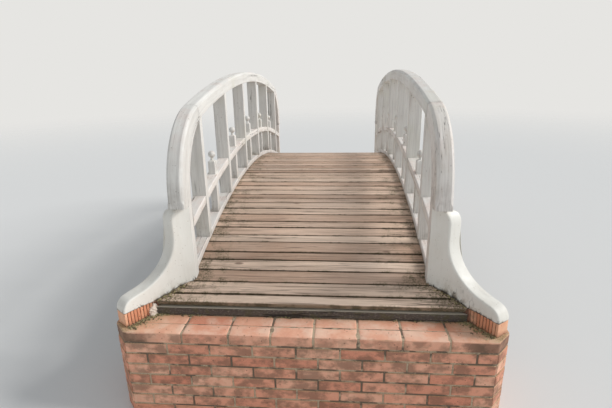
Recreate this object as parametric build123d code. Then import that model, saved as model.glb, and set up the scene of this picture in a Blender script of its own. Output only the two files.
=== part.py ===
from build123d import *
from itertools import cycle
from math import asin, cos, degrees, radians, sin, sqrt
import os

# Arched wooden footbridge on brick abutments.
# Millimetres. X runs across the walkway, Y along it, Z up.
# The origin is on the ground line under the middle of the span.

# Abutments
abutmentHeight = 600.0
pavingLevel = abutmentHeight
bearingLength = 155.0
thresholdDepth = 205.0
plinthMargin = 12.0

# Lengths from the middle of the span
legBackY = 2055.0
legDepth = 145.0
legFrontY = legBackY + legDepth
deckRunOut = 110.0
deckEndY = legFrontY + deckRunOut

# All long arcs share one centre, which sets the end of the deck one step above the paving
deckRadius = 6900.0
stepHeight = 92.0
arcCentreZ = pavingLevel + stepHeight - sqrt(deckRadius**2 - deckEndY**2)
boardThickness = 40.0
boardUnderRadius = deckRadius - boardThickness
stringerDepth = 180.0
stringerWidth = 80.0
kerbHeight = 45.0
kerbWidth = 90.0
kerbTopRadius = deckRadius + kerbHeight
midRailHeight = 295.0
midRailThickness = 57.0
midRailWidth = 90.0
midRailUnderRadius = deckRadius + midRailHeight
midRailTopRadius = midRailUnderRadius + midRailThickness
handrailHeight = 882.0
handrailThickness = 98.0
handrailUnderRadius = deckRadius + handrailHeight
handrailTopRadius = handrailUnderRadius + handrailThickness

# Railings: hoops with a leg at each end, six broad uprights and five short posts a side
railInnerX = 757.0
railWidth = 105.0
railOuterX = railInnerX + railWidth
railMiddleX = railInnerX + railWidth / 2
legInnerCorner = 500.0
legOuterCorner = 550.0
hoopChamfer = 16.0
chamferStop = 62.0
chamferRunOut = 38.0
uprightPitch = 692.0
uprightPairs = 3
uprightThickness = 50.0
postWidth = 56.0
postRise = 93.0

# Ball finials
capRise = 9.0
neckWidth = 24.0
neckRise = 20.0
ballWidth = 56.0
ballBands = 5
ballSides = 10

# Widths of the deck boards with their gaps, from the end of the deck to the middle of the span
boardGap = 6.0
boardPitches = [74, 107, 111, 105, 85, 117, 88, 103, 88, 111, 99, 111, 80, 80,
                100, 104, 108, 110, 88, 92, 92, 76, 114]
narrowestBoard = 60.0
endBeamDepth = 60.0

# Wing walls: an arc in plan, and a shoulder, a sweep and a rounded toe from the side.
# Under the shoulder a leg goes on down as a shallower post, which the wall stands against
postDepth = 65.0
wingStartX = railInnerX
wingStartY = legBackY + postDepth
wingRadius = 1124.0
wingStartSlope = 34.3
wingSweep = 25.0
wingThickness = 105.0
plinthHeight = 90.0
shoulderHeight = 668.0
shoulderLength = 28.0
noseRadius = 90.0
sweepRadius = 305.0
sweepFall = 12.0
toeRadius = 75.0
toeUpright = 4.5096

# The side outline of a wing wall lies in a plane turned from the chord of its plan arc, and its end is square to it
outlineTurn = radians(6.0)
wingCentreX = wingStartX - wingRadius * sin(radians(wingStartSlope))
wingCentreY = wingStartY + wingRadius * cos(radians(wingStartSlope))
halfSweep = radians(wingSweep / 2)
chordSlope = radians(wingStartSlope) + halfSweep
chordLength = 2 * wingRadius * sin(halfSweep)
toeInnerX = wingStartX + chordLength * cos(chordSlope)
toeInnerY = wingStartY + chordLength * sin(chordSlope)
outlineSlope = chordSlope + outlineTurn
outlineLength = chordLength * cos(outlineTurn)
toeTurn = halfSweep - outlineTurn
toeReach = sqrt((wingRadius + wingThickness) ** 2 - (wingRadius * sin(toeTurn)) ** 2)
toeWidth = toeReach - wingRadius * cos(toeTurn)
toeOuterX = toeInnerX + toeWidth * sin(outlineSlope)
toeOuterY = toeInnerY - toeWidth * cos(outlineSlope)
outlineBack = -2 * wingThickness
abutmentInnerY = legBackY - bearingLength
abutmentOuterY = deckEndY + thresholdDepth
abutmentHalfWidth = toeOuterX + plinthMargin
abutmentCornerX = toeInnerX + plinthMargin / 2
abutmentCornerY = toeOuterY + plinthMargin / 2

farEnough = 2 * abutmentOuterY


def slab(xLow, xHigh, yLow, yHigh, zLow, zHigh):
    size = (xHigh - xLow, yHigh - yLow, zHigh - zLow)
    middle = Pos((xLow + xHigh) / 2, (yLow + yHigh) / 2, (zLow + zHigh) / 2)
    return middle * Box(*size)


# Carries a face drawn in Y and Z across the bridge, from xLow to xHigh
def across(face, xLow, xHigh):
    return Pos(xLow, 0, 0) * extrude(face, xHigh - xLow, dir=(1, 0, 0))


def sideDisc(radius):
    return Plane.YZ * Pos(0, arcCentreZ) * Circle(radius)


# A beam that follows the arch, down to the top of the abutments
def archBand(innerRadius, outerRadius, halfLength, xLow, xHigh):
    band = across(sideDisc(outerRadius) - sideDisc(innerRadius), xLow, xHigh)
    return band & slab(xLow, xHigh, -halfLength, halfLength, pavingLevel, farEnough)


def arcLevel(radius, y):
    return arcCentreZ + sqrt(radius**2 - y**2)


# A hoop filled in: straight legs, round corners and a long arch between them
def hoopFace(frontY, cornerRadius, archRadius):
    cornerY = frontY - cornerRadius
    cornerZ = arcLevel(archRadius - cornerRadius, cornerY)
    tilt = degrees(asin(cornerY / (archRadius - cornerRadius)))
    outline = [
        CenterArc((cornerY, cornerZ), cornerRadius, 0, 90 - tilt),
        CenterArc((0, arcCentreZ), archRadius, 90 - tilt, 2 * tilt),
        CenterArc((-cornerY, cornerZ), cornerRadius, 90 + tilt, 90 - tilt),
        Line((-frontY, cornerZ), (-frontY, 0)),
        Line((-frontY, 0), (frontY, 0)),
        Line((frontY, 0), (frontY, cornerZ)),
    ]
    return Plane.YZ * make_face(outline)


def upward(face, zLow, zHigh):
    return Pos(0, 0, zLow) * extrude(face, zHigh - zLow, dir=(0, 0, 1))


def planBox(xLow, xHigh, yLow, yHigh):
    middle = Pos((xLow + xHigh) / 2, (yLow + yHigh) / 2)
    return middle * Rectangle(xHigh - xLow, yHigh - yLow)


def wingDisc(radius):
    return Pos(wingCentreX, wingCentreY) * Circle(radius)


# Plan of the far right wing wall: a curved band that starts square against the leg's post
def wingPlan():
    band = wingDisc(wingRadius + wingThickness) - wingDisc(wingRadius)
    return band & planBox(wingStartX, farEnough, wingStartY, wingCentreY)


# A face drawn in the plane of the side outline, carried through the far right wing wall
def throughWing(face):
    along = Vector(cos(outlineSlope), sin(outlineSlope), 0)
    side = Plane(
        origin=(wingStartX, wingStartY, pavingLevel), x_dir=along, z_dir=along.cross(Vector(0, 0, 1))
    )
    return extrude(side * face, wingRadius, both=True)


# Side outline of a wing wall, from its back to its toe, as tangent lines and arcs. The toe stands on
# the plinth, and the sweep's levels follow from it
def wingProfile():
    noseX = shoulderLength + noseRadius
    noseBottom = shoulderHeight - noseRadius
    turn = 90 - sweepFall
    fallX = sin(radians(sweepFall))
    fallZ = cos(radians(sweepFall))
    sweepEndX = noseX + sweepRadius * (1 - fallX)
    toeRun = (outlineLength - sweepEndX - toeRadius * (1 - fallX)) / fallZ
    toeStartX = sweepEndX + toeRun * fallZ
    toeCentreX = outlineLength - toeRadius
    toeCentreZ = plinthHeight + toeUpright
    toeStartZ = toeCentreZ + toeRadius * fallZ
    sweepEndZ = toeStartZ + toeRun * fallX
    sweepTop = sweepEndZ + sweepRadius * fallZ
    return make_face(
        [
            Line((outlineBack, shoulderHeight), (shoulderLength, shoulderHeight)),
            CenterArc((shoulderLength, noseBottom), noseRadius, 0, 90),
            Line((noseX, noseBottom), (noseX, sweepTop)),
            CenterArc((noseX + sweepRadius, sweepTop), sweepRadius, 180, turn),
            Line((sweepEndX, sweepEndZ), (toeStartX, toeStartZ)),
            CenterArc((toeCentreX, toeCentreZ), toeRadius, 0, turn),
            Line((outlineLength, toeCentreZ), (outlineLength, plinthHeight)),
            Line((outlineLength, plinthHeight), (outlineBack, plinthHeight)),
            Line((outlineBack, plinthHeight), (outlineBack, shoulderHeight)),
        ]
    )


# A turned piece with flat sides, from rings of radius and level, closed by a point on top
def turnedPiece(rings, topLevel):
    corners = []
    for radius, level in rings:
        angles = [radians(360 * n / ballSides) for n in range(ballSides)]
        corners.append([(radius * cos(angle), radius * sin(angle), level) for angle in angles])
    outlines = [corners[0]]
    for n in range(ballSides):
        for low, high in zip(corners, corners[1:]):
            outlines.append([low[n - 1], low[n], high[n], high[n - 1]])
        outlines.append([corners[-1][n - 1], corners[-1][n], (0, 0, topLevel)])
    return Solid(Shell([Face(Wire.make_polygon(outline)) for outline in outlines]))


def save(name, shape):
    export_step(shape, "parts/" + name + ".step")


def sides(name, piece):
    save(name + "_right", piece)
    save(name + "_left", mirror(piece, about=Plane.YZ))


def ends(name, piece):
    save(name + "_far", piece)
    save(name + "_near", mirror(piece, about=Plane.XZ))


def corners(name, piece):
    sides(name + "_far", piece)
    sides(name + "_near", mirror(piece, about=Plane.XZ))


def together(pieces):
    return Compound(children=[solid for piece in pieces for solid in piece.solids()])


os.makedirs("parts", exist_ok=True)

# Brick abutments
abutmentPlan = make_face(
    Polyline(
        (-abutmentHalfWidth, abutmentInnerY),
        (abutmentHalfWidth, abutmentInnerY),
        (abutmentHalfWidth, abutmentCornerY),
        (abutmentCornerX, abutmentOuterY),
        (-abutmentCornerX, abutmentOuterY),
        (-abutmentHalfWidth, abutmentCornerY),
        close=True,
    )
)
ends("abutment", upward(abutmentPlan, 0, pavingLevel))

# Wing walls on brick plinths
wingBlock = upward(wingPlan(), 0, farEnough)
plinthProfile = planBox(outlineBack, outlineLength, 0, plinthHeight)
corners("wing_plinth", wingBlock & throughWing(plinthProfile))
corners("wing_wall", wingBlock & throughWing(wingProfile()))

# The walkway in plan: over the stringers, past the legs, and flared between the wing walls
flare = planBox(0, abutmentHalfWidth, wingStartY, deckEndY) & wingDisc(wingRadius)
flare = flare + mirror(flare, about=Plane.YZ)
flare = flare + mirror(flare, about=Plane.XZ)
walkway = planBox(-railInnerX, railInnerX, -deckEndY, deckEndY)
walkway = walkway + planBox(-railOuterX, railOuterX, -legBackY, legBackY)
walkSpace = upward(walkway + flare, pavingLevel, farEnough)

# End beams, under the last boards
beamY = deckEndY - endBeamDepth
beamBox = slab(-farEnough, farEnough, beamY, deckEndY, pavingLevel, farEnough)
underBoards = across(sideDisc(boardUnderRadius), -farEnough, farEnough)
ends("end_beam", beamBox & walkSpace & underBoards)

# Arched stringers
stringerUnderRadius = boardUnderRadius - stringerDepth
stringerX = railOuterX - stringerWidth
sides("stringer", archBand(stringerUnderRadius, boardUnderRadius, legBackY, stringerX, railOuterX))
halfStringer = stringerWidth / 2
middle = archBand(stringerUnderRadius, boardUnderRadius, beamY, -halfStringer, halfStringer)
save("stringer_middle", middle)

# Deck boards, whose widths come round again on a longer deck; the last one ends at the middle
boards = []
outerEdge = deckRadius * asin(deckEndY / deckRadius)
for pitch in cycle(boardPitches):
    innerEdge = outerEdge - pitch
    if innerEdge < narrowestBoard:
        innerEdge = 0
    start = degrees((innerEdge + boardGap / 2) / deckRadius)
    end = degrees((outerEdge - boardGap / 2 if boards else outerEdge) / deckRadius)
    top = CenterArc((0, arcCentreZ), deckRadius, 90 - end, end - start)
    bottom = CenterArc((0, arcCentreZ), boardUnderRadius, 90 - end, end - start)
    face = make_face([top, bottom, Line(top @ 0, bottom @ 0), Line(top @ 1, bottom @ 1)])
    boards.append(across(Plane.YZ * face, -abutmentHalfWidth, abutmentHalfWidth) & walkSpace)
    if innerEdge == 0:
        break
    outerEdge = innerEdge
ends("deck_boards", together(boards))

# Kerbs on the boards
sides("kerb", archBand(deckRadius, kerbTopRadius, legBackY, railOuterX - kerbWidth, railOuterX))

# Handrail hoops, with stopped chamfers on their outer edges
outerHoop = hoopFace(legFrontY, legOuterCorner, handrailTopRadius)
innerHoop = hoopFace(legBackY, legInnerCorner, handrailUnderRadius)
hoop = across(outerHoop - innerHoop, railInnerX, railOuterX)
outerEdges = [
    edge
    for edge in hoop.edges()
    if edge.bounding_box().size.X < hoopChamfer
    and edge.bounding_box().max.Z > pavingLevel
    and innerHoop.distance_to(edge @ 0.5) > handrailThickness / 2
]
legFoot = pavingLevel + shoulderHeight
stopLevel = legFoot + chamferStop
plainFeet = hoop & slab(0, farEnough, -farEnough, farEnough, legFoot, stopLevel)
chamfered = chamfer(outerEdges, hoopChamfer)
hoop = chamfered & slab(0, farEnough, -farEnough, farEnough, stopLevel, farEnough)
for x, inwards in ((railInnerX, 1), (railOuterX, -1)):
    for y in (-legFrontY, legFrontY):
        backwards = -1 if y > 0 else 1
        corner = Polyline(
            (x, y, stopLevel),
            (x + inwards * hoopChamfer, y, stopLevel),
            (x, y + backwards * hoopChamfer, stopLevel),
            close=True,
        )
        runOut = loft([make_face(corner), Vertex(x, y, stopLevel - chamferRunOut)])
        plainFeet = plainFeet - runOut
hoop = hoop + plainFeet
for y in (legBackY, -wingStartY):
    hoop = hoop + slab(railInnerX, railOuterX, y, y + postDepth, pavingLevel, legFoot)
jointTurn = asin((legFrontY - legOuterCorner) / (handrailTopRadius - legOuterCorner))
jointFar = Plane(
    origin=(0, 0, arcCentreZ), x_dir=(1, 0, 0), z_dir=(0, cos(jointTurn), -sin(jointTurn))
)
jointNear = Plane(
    origin=(0, 0, arcCentreZ), x_dir=(1, 0, 0), z_dir=(0, cos(jointTurn), sin(jointTurn))
)
corners("rail_leg", split(hoop, bisect_by=jointFar, keep=Keep.TOP))
topRail = split(hoop, bisect_by=jointFar, keep=Keep.BOTTOM)
sides("handrail", split(topRail, bisect_by=jointNear, keep=Keep.TOP))

# Broad uprights, from kerb to handrail
underHoop = across(innerHoop, railInnerX, railOuterX)
overKerb = underHoop - across(sideDisc(kerbTopRadius), railInnerX, railOuterX)
halfUpright = uprightThickness / 2
uprightPlaces = [(n + 0.5) * uprightPitch for n in range(-uprightPairs, uprightPairs)]
uprightSlabs = [
    slab(railInnerX, railOuterX, y - halfUpright, y + halfUpright, 0, farEnough)
    for y in uprightPlaces
]
sides("uprights", together([block & overKerb for block in uprightSlabs]))

# Short posts with turned ball finials
halfPost = postWidth / 2
ballRadius = ballWidth / 2
neckTurn = degrees(asin(neckWidth / ballWidth))
ballCentre = capRise + neckRise + ballRadius * cos(radians(neckTurn))
rings = [(neckWidth / 2, 0)]
for n in range(ballBands):
    turn = radians(neckTurn + (180 - neckTurn) * n / ballBands)
    rings.append((ballRadius * sin(turn), ballCentre - ballRadius * cos(turn)))
finial = turnedPiece(rings, ballCentre + ballRadius)
shafts = []
for number in range(1, 2 * uprightPairs):
    y = (number - uprightPairs) * uprightPitch
    top = arcLevel(midRailTopRadius + postRise, y)
    shaft = slab(railMiddleX - halfPost, railMiddleX + halfPost, y - halfPost, y + halfPost, 0, top)
    shafts.append(shaft)
    capBase = Pos(railMiddleX, y, top) * Rectangle(postWidth, postWidth)
    capTop = Pos(railMiddleX, y, top + capRise) * Rectangle(neckWidth, neckWidth)
    foot = shaft - across(sideDisc(kerbTopRadius), 0, farEnough)
    post = foot + loft([capBase, capTop]) + Pos(railMiddleX, y, top) * finial
    sides("ball_post_" + str(number), post)

# Middle rails, let in between the uprights and round the posts
halfRail = midRailWidth / 2
midRail = archBand(
    midRailUnderRadius, midRailTopRadius, legBackY, railMiddleX - halfRail, railMiddleX + halfRail
)
for block in uprightSlabs + shafts:
    midRail = midRail - block
sides("mid_rail", midRail)
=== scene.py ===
import bmesh
import bpy
import math
import numpy as np
from mathutils import Matrix, Vector


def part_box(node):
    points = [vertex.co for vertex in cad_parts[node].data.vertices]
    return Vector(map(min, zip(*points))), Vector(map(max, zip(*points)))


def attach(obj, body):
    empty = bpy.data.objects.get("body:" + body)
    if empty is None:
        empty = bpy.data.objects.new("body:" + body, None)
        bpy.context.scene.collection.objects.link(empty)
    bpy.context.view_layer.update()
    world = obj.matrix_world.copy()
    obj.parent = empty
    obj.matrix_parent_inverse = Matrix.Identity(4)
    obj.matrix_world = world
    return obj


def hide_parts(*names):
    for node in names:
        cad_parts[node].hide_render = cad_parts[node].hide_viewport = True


# Arched wooden footbridge with white hooped railings, on brick abutments.
# Metres, in the frame of the CAD part: X across the walkway, Y along it, Z up.

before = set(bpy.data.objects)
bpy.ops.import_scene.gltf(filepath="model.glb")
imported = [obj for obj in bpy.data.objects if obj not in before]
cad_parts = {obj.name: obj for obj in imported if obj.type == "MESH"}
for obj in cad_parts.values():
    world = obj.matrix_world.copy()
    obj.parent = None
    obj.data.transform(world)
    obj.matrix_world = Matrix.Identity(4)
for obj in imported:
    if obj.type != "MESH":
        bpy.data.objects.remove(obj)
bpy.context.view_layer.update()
print("frame loaded with", len(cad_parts), "nodes")

mm = 0.001
stock = 9  # length and width, in metres, of the grain that every timber is cut from
sides = ((1, "right"), (-1, "left"))
ends = ((1, "far"), (-1, "near"))
materials = {}

# Places read from the frame
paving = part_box("abutment_far")[1].z
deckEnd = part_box("deck_boards_far")[1].y
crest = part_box("deck_boards_far")[1].z
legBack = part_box("kerb_right")[1].y
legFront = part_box("rail_leg_far_right")[1].y
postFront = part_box("wing_wall_far_right")[0].y
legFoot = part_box("wing_wall_far_right")[1].z
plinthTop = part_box("wing_wall_far_right")[0].z
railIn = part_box("handrail_right")[0].x
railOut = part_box("handrail_right")[1].x
railMiddle = (railIn + railOut) / 2
railWidth = railOut - railIn

# Radius of the top of the deck, and how far the other arcs lie under or over it
arch = dict(deck=6.9, boards=0.040, stringer=0.180, kerb=0.045, midLow=0.295, midHigh=0.352,
            railLow=0.882, railHigh=0.980)
centreZ = crest - arch["deck"]


# Level of an arc of that radius about the common centre: its height at y is the root of radius squared less y
# squared
def arcLevel(radius, y):
    return centreZ + np.sqrt(radius ** 2 - y ** 2)


# A slow uneven drift between about -1 and 1: a third of the sum of five sine waves of the place, whose
# directions and phases are seeded
def drift(points, scale, seed):
    waves = np.random.default_rng(seed)
    directions = waves.normal(size=(5, 3)) / scale
    phases = waves.uniform(0, 2 * np.pi, 5)
    return np.sin(points @ directions.T + phases).sum(axis=-1) / 3.0


# Where on the grain a piece was cut, in metres, and its tone from 0 to 1, by its seed
def cutFrom(seed):
    return np.random.default_rng(seed).uniform(0, stock, 2), np.random.default_rng(seed + 2).uniform()


# How dirt and painted shade thin out with the distance from where they gather: e to the power of minus
# distance over reach. Values whose names end in Dirt or Shade are such reaches, in metres
def fading(distance, reach):
    return np.exp(-distance / reach)


# Distance along a line of points, from the first of them to each
def runAlong(points):
    return np.concatenate([[0], np.cumsum(np.linalg.norm(np.diff(points, axis=0), axis=1))])


# Steps on from a first value to a last one, without the first
def steps(first, last, count):
    return np.linspace(first, last, count + 1)[1:]


# Numbers of the faces on shells that are inside out. Points joined by an edge take the lower of their
# numbers, over and over until none changes, which names their shell. A shell's volume is the sum over its
# triangles of one corner times the cross product of the other two, over six, and it is below zero when the
# faces look inwards
def insideOut(mesh):
    mesh.calc_loop_triangles()
    places = np.zeros((len(mesh.vertices), 3), np.float32)
    edges = np.zeros((len(mesh.edges), 2), np.int32)
    triangles = np.zeros((len(mesh.loop_triangles), 3), np.int32)
    faces = np.zeros(len(mesh.loop_triangles), np.int32)
    mesh.vertices.foreach_get("co", places.ravel())
    mesh.edges.foreach_get("vertices", edges.ravel())
    mesh.loop_triangles.foreach_get("vertices", triangles.ravel())
    mesh.loop_triangles.foreach_get("polygon_index", faces)
    shell, joined = None, np.arange(len(places))
    while shell is None or (joined != shell).any():
        shell = joined
        low = shell[edges].min(axis=1)
        joined = shell.copy()
        np.minimum.at(joined, shell[edges[:, 0]], low)
        np.minimum.at(joined, shell[edges[:, 1]], low)
        joined = joined[joined]
    a, b, c = places[triangles].transpose(1, 0, 2)
    shells = shell[triangles[:, 0]]
    volumes = np.bincount(shells, weights=(a * np.cross(b, c)).sum(axis=1) / 6, minlength=len(places))
    return np.unique(faces[volumes[shells] < 0])


# Makes a mesh from arrays, welds equal points, turns the faces outwards and lets the piece ride on the bridge
def makePiece(name, vertices, faceSets, cornerPlaces, pointValues, finish, nodes, sharp):
    mesh = bpy.data.meshes.new(name)
    mesh.from_pydata(vertices.tolist(), [], [face for faces in faceSets for face in faces.tolist()])
    layer = mesh.uv_layers.new(name="grain")
    layer.data.foreach_set("uv", cornerPlaces.astype(np.float32).ravel())
    for key, values in pointValues.items():
        field = mesh.attributes.new(key, "FLOAT", "POINT")
        field.data.foreach_set("value", values.astype(np.float32).ravel())
    work = bmesh.new()
    work.from_mesh(mesh)
    bmesh.ops.remove_doubles(work, verts=work.verts, dist=0.02 * mm)
    bmesh.ops.recalc_face_normals(work, faces=work.faces)
    work.to_mesh(mesh)
    wrong = insideOut(mesh).tolist()
    if wrong:
        work.faces.ensure_lookup_table()
        bmesh.ops.reverse_faces(work, faces=[work.faces[k] for k in wrong])
        work.to_mesh(mesh)
    work.free()
    mesh.materials.append(materials[finish])
    mesh.shade_smooth()
    mesh.set_sharp_from_angle(angle=math.radians(sharp))
    piece = bpy.data.objects.new(name, mesh)
    bpy.context.scene.collection.objects.link(piece)
    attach(piece, "root")
    if nodes:
        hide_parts(*nodes)


# Joins grids into one piece. A grid is points (rows, columns, 3), places (rows, columns, 2) in metres along
# and across the grain, a tone from 0 to 1 and the grime at each point, which on some pieces holds painted
# shade as well; every four neighbouring points make a face
def gridPiece(name, grids, finish, nodes=(), sharp=40):
    vertices, faces, places, tones, grimes = [], [], [], [], []
    start = 0
    for points, place, tone, grime in grids:
        rows, columns = points.shape[:2]
        ids = np.arange(rows * columns).reshape(rows, columns)
        quads = np.stack([ids[:-1, :-1], ids[:-1, 1:], ids[1:, 1:], ids[1:, :-1]], -1).reshape(-1, 4)
        vertices.append(points.reshape(-1, 3))
        faces.append(quads + start)
        places.append(place.reshape(-1, 2)[quads].reshape(-1, 2))
        tones.append(np.broadcast_to(tone, (rows, columns)).ravel())
        grimes.append(np.broadcast_to(grime, (rows, columns)).ravel())
        start += rows * columns
    values = dict(tone=np.concatenate(tones), grime=np.concatenate(grimes))
    makePiece(name, np.concatenate(vertices), faces, np.concatenate(places), values, finish, nodes,
              sharp)


# Rounded rectangle about zero, anticlockwise and closed: four quarter circles joined by straight sides, which
# have one point close to each arc so that they shade flat, and splits points between. Gives the points and
# the run to each
def roundedRing(width, height, radius, splits):
    right, top = width / 2 - radius, height / 2 - radius
    centres = np.array([(right, -top), (right, top), (-right, top), (-right, -top)])
    parts = []
    for k in range(4):
        turn = np.radians(np.linspace(-90, 0, 4) + 90 * k)
        arc = centres[k] + radius * np.stack([np.cos(turn), np.sin(turn)], -1)
        onward = centres[(k + 1) % 4] + radius * np.array([np.cos(turn[-1]), np.sin(turn[-1])])
        near = min(0.3, 3 * mm / np.linalg.norm(onward - arc[-1]))
        shares = np.concatenate([[near], np.linspace(0, 1, splits[k % 2] + 2)[1:-1], [1 - near]])
        parts += [arc, arc[-1] + shares[:, None] * (onward - arc[-1])]
    ring = np.concatenate(parts + [parts[0][:1]])
    return ring, runAlong(ring)


# Closes an end: the ring drawn half way in to its middle, and then to the middle itself
def endCap(points, flat, tone, grime):
    middle, flatMiddle = points[:-1].mean(axis=0), flat[:-1].mean(axis=0)
    shares = np.array([1.0, 0.5, 0.0])[:, None, None]
    return (middle + shares * (points - middle), flatMiddle + shares * (flat - flatMiddle), tone,
            np.broadcast_to(grime, (3, len(points))))


# A closed skin of rings of points, as grids. Its place on the grain is how far each point lies along the
# piece and round it, and on its ends how the section lies, all moved to where the piece was cut from
def closedSkin(points, along, around, section, cut, tone, grime, endGrime=None):
    grids = [(points, np.stack([along + cut[0], around + cut[1] + 0 * along], -1), tone, grime)]
    for k in (0, -1):
        flat = (section[k] if section.ndim == 3 else section) + cut
        grids.append(endCap(points[k], flat, tone, grime[k] if endGrime is None else endGrime))
    return grids


# sRGB hex to the linear colour that a shader takes
def paint(code):
    parts = np.array([int(code[k:k + 2], 16) for k in (1, 3, 5)]) / 255
    linear = np.where(parts <= 0.04045, parts / 12.92, ((parts + 0.055) / 1.055) ** 2.4)
    return (*linear.tolist(), 1.0)


# Adds a node and gives one of its outputs, if it has any. Settings are sockets by name or number, properties,
# or the stops of a ramp; links go to sockets
def addNode(tree, kind, settings=None, links=None, out=0):
    node = tree.nodes.new("ShaderNode" + kind)
    for key, value in (settings or {}).items():
        if key == "ramp":
            while len(node.color_ramp.elements) < len(value):
                node.color_ramp.elements.new(0.5)
            for stop, (place, colour) in zip(node.color_ramp.elements, value):
                stop.position = place
                stop.color = colour
        elif isinstance(key, int) or key in node.inputs:
            node.inputs[key].default_value = value
        else:
            setattr(node, key, value)
    for socket, source in (links or {}).items():
        tree.links.new(source, node.inputs[socket])
    return node.outputs[out] if node.outputs else None


# Starts a material. Its finish holds its colours and values, its tree and shader, and what its patterns start
# from: coordinates on the bridge and along the grain, the tone of the mesh and its grime, which also carries
# painted shade, and how far the surface looks up
def newFinish(name, look):
    material = bpy.data.materials.new(name)
    material.use_nodes = True
    materials[name] = material
    tree = material.node_tree
    facing = addNode(tree, "SeparateXYZ", links={0: addNode(tree, "NewGeometry", out="Normal")}, out="Z")
    return dict(look=look, tree=tree, shader=tree.nodes["Principled BSDF"],
                place=addNode(tree, "TexCoord", out="Object"),
                grain=addNode(tree, "UVMap", {"uv_map": "grain"}),
                tone=addNode(tree, "Attribute", {"attribute_name": "tone"}, out="Fac"),
                grime=addNode(tree, "Attribute", {"attribute_name": "grime"}, out="Fac"),
                upward=addNode(tree, "MapRange", {"From Min": 0.15, "From Max": 0.9}, {"Value": facing}))


# A mask: the product of its parts. A part is an output or the name of one in the finish, or one with the two
# values that are spread over 0 to 1
def mask(finish, *parts):
    product = None
    for part in parts:
        source, *spread = part if isinstance(part, tuple) else [part]
        source = finish[source] if isinstance(source, str) else source
        if spread:
            settings = {"From Min": spread[0], "From Max": spread[1]}
            source = addNode(finish["tree"], "MapRange", settings, {"Value": source})
        if product:
            source = addNode(finish["tree"], "Math", {"operation": "MULTIPLY"}, {0: product, 1: source})
        product = source
    return product


# Cloudy pattern on coordinates stretched by scale, in repeats to the metre. Low to high is spread over 0 to 1
def clouds(finish, place, scale, detail, low, high):
    tree, scale = finish["tree"], np.broadcast_to(scale, 3).tolist()
    moved = addNode(tree, "VectorMath", {"operation": "MULTIPLY", 1: scale}, {0: finish[place]})
    noise = addNode(tree, "TexNoise", {"Scale": 1.0, "Detail": detail, "Roughness": 0.6}, {"Vector": moved})
    return mask(finish, (noise, low, high))


# Thin lines where a stretched cloud passes its middle value, kept only where a second cloud is over keep
def cracks(finish, place, scale, width, keep):
    tree = finish["tree"]
    wave = clouds(finish, place, scale, 2.0, 0.0, 1.0)
    away = addNode(tree, "Math", {"operation": "SUBTRACT", 1: 0.5}, {0: wave})
    away = addNode(tree, "Math", {"operation": "ABSOLUTE"}, {0: away})
    kept = clouds(finish, place, np.array(scale) * (1.3, 0.4, 1.1), 1.0, keep, keep + 0.04)
    return mask(finish, (away, width, width * 0.3), kept)


# Small round spots in a share of the cells of a stretched cell pattern
def spots(finish, place, scale, size, share):
    tree, scale = finish["tree"], np.broadcast_to(scale, 3).tolist()
    moved = addNode(tree, "VectorMath", {"operation": "MULTIPLY", 1: scale}, {0: finish[place]})
    away = addNode(tree, "TexVoronoi", {"Scale": 1.0}, {"Vector": moved}, "Distance")
    chance = addNode(tree, "SeparateColor", links={0: away.node.outputs["Color"]})
    picked = addNode(tree, "Math", {"operation": "LESS_THAN", 1: share}, {0: chance})
    return mask(finish, (away, size, size * 0.5), picked)


# Lays layers over a base colour, which may also be the stops of a ramp over the tone. A layer is a colour,
# its masks and how thickly it covers where they are high
def layUp(finish, base, layers):
    tree, look = finish["tree"], finish["look"]
    if isinstance(base, str):
        colour = paint(look[base])
    else:
        stops = [(place, paint(look[name])) for place, name in base]
        colour = addNode(tree, "ValToRGB", {"ramp": stops}, {"Fac": finish["tone"]})
    for name, masks, strength in layers:
        thick = addNode(tree, "Math", {"operation": "MULTIPLY", 1: strength, "use_clamp": True},
                        {0: mask(finish, *masks)})
        settings, links = {"Color2": paint(look[name])}, {"Fac": thick}
        (settings if isinstance(colour, tuple) else links)["Color1"] = colour
        colour = addNode(tree, "MixRGB", settings, links)
    return colour


# Joins colour, roughness and relief to the shader. The roughness runs from smooth to rough with a mask, and
# the relief adds up masks, each with its height in metres. The index of refraction stays at the shader's own
# 1.5, which paint binder, wood and fired clay come close to
def finishSurface(finish, colour, smooth, rough, worn, relief):
    tree, total = finish["tree"], None
    roughness = addNode(tree, "MapRange", {"To Min": smooth, "To Max": rough}, {"Value": worn})
    for height, *masks in relief:
        part = addNode(tree, "Math", {"operation": "MULTIPLY", 1: height}, {0: mask(finish, *masks)})
        total = addNode(tree, "Math", {"operation": "ADD"}, {0: total, 1: part}) if total else part
    bump = addNode(tree, "Bump", {"Strength": 1.0, "Distance": 1.0}, {"Height": total})
    for socket, source in (("Base Color", colour), ("Roughness", roughness), ("Normal", bump)):
        tree.links.new(source, finish["shader"].inputs[socket])


oilPaintLooks = {
    "whiteOilPaint": dict(coat="#e9e6df", streak="#c8c4be", bare="#bdaea3", dust="#dfd0c7", algae="#c2bea0",
                          dirt="#7b7266", crack="#564f48", streaky=0.56, thin=0.36, dusty=0.50, keep=0.61,
                          crackScale=(0.8, 30.0, 1.0)),
    "crackedOilPaint": dict(coat="#ece6df", streak="#ccc2ba", bare="#bda99b", dust="#e0cdc2", algae="#c2bea0",
                            dirt="#7b7266", crack="#3f3731", streaky=0.46, thin=0.50, dusty=0.60, keep=0.535,
                            crackScale=(2.4, 52.0, 1.0)),
    "wornOilPaint": dict(coat="#f0ebe4", streak="#d0c7bf", bare="#bfa695", dust="#e6d5ca", algae="#aeaa86",
                         dirt="#6d6357", crack="#463f38", streaky=0.50, thin=0.60, dusty=0.60, keep=0.59,
                         crackScale=(0.8, 30.0, 1.0)),
}


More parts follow.
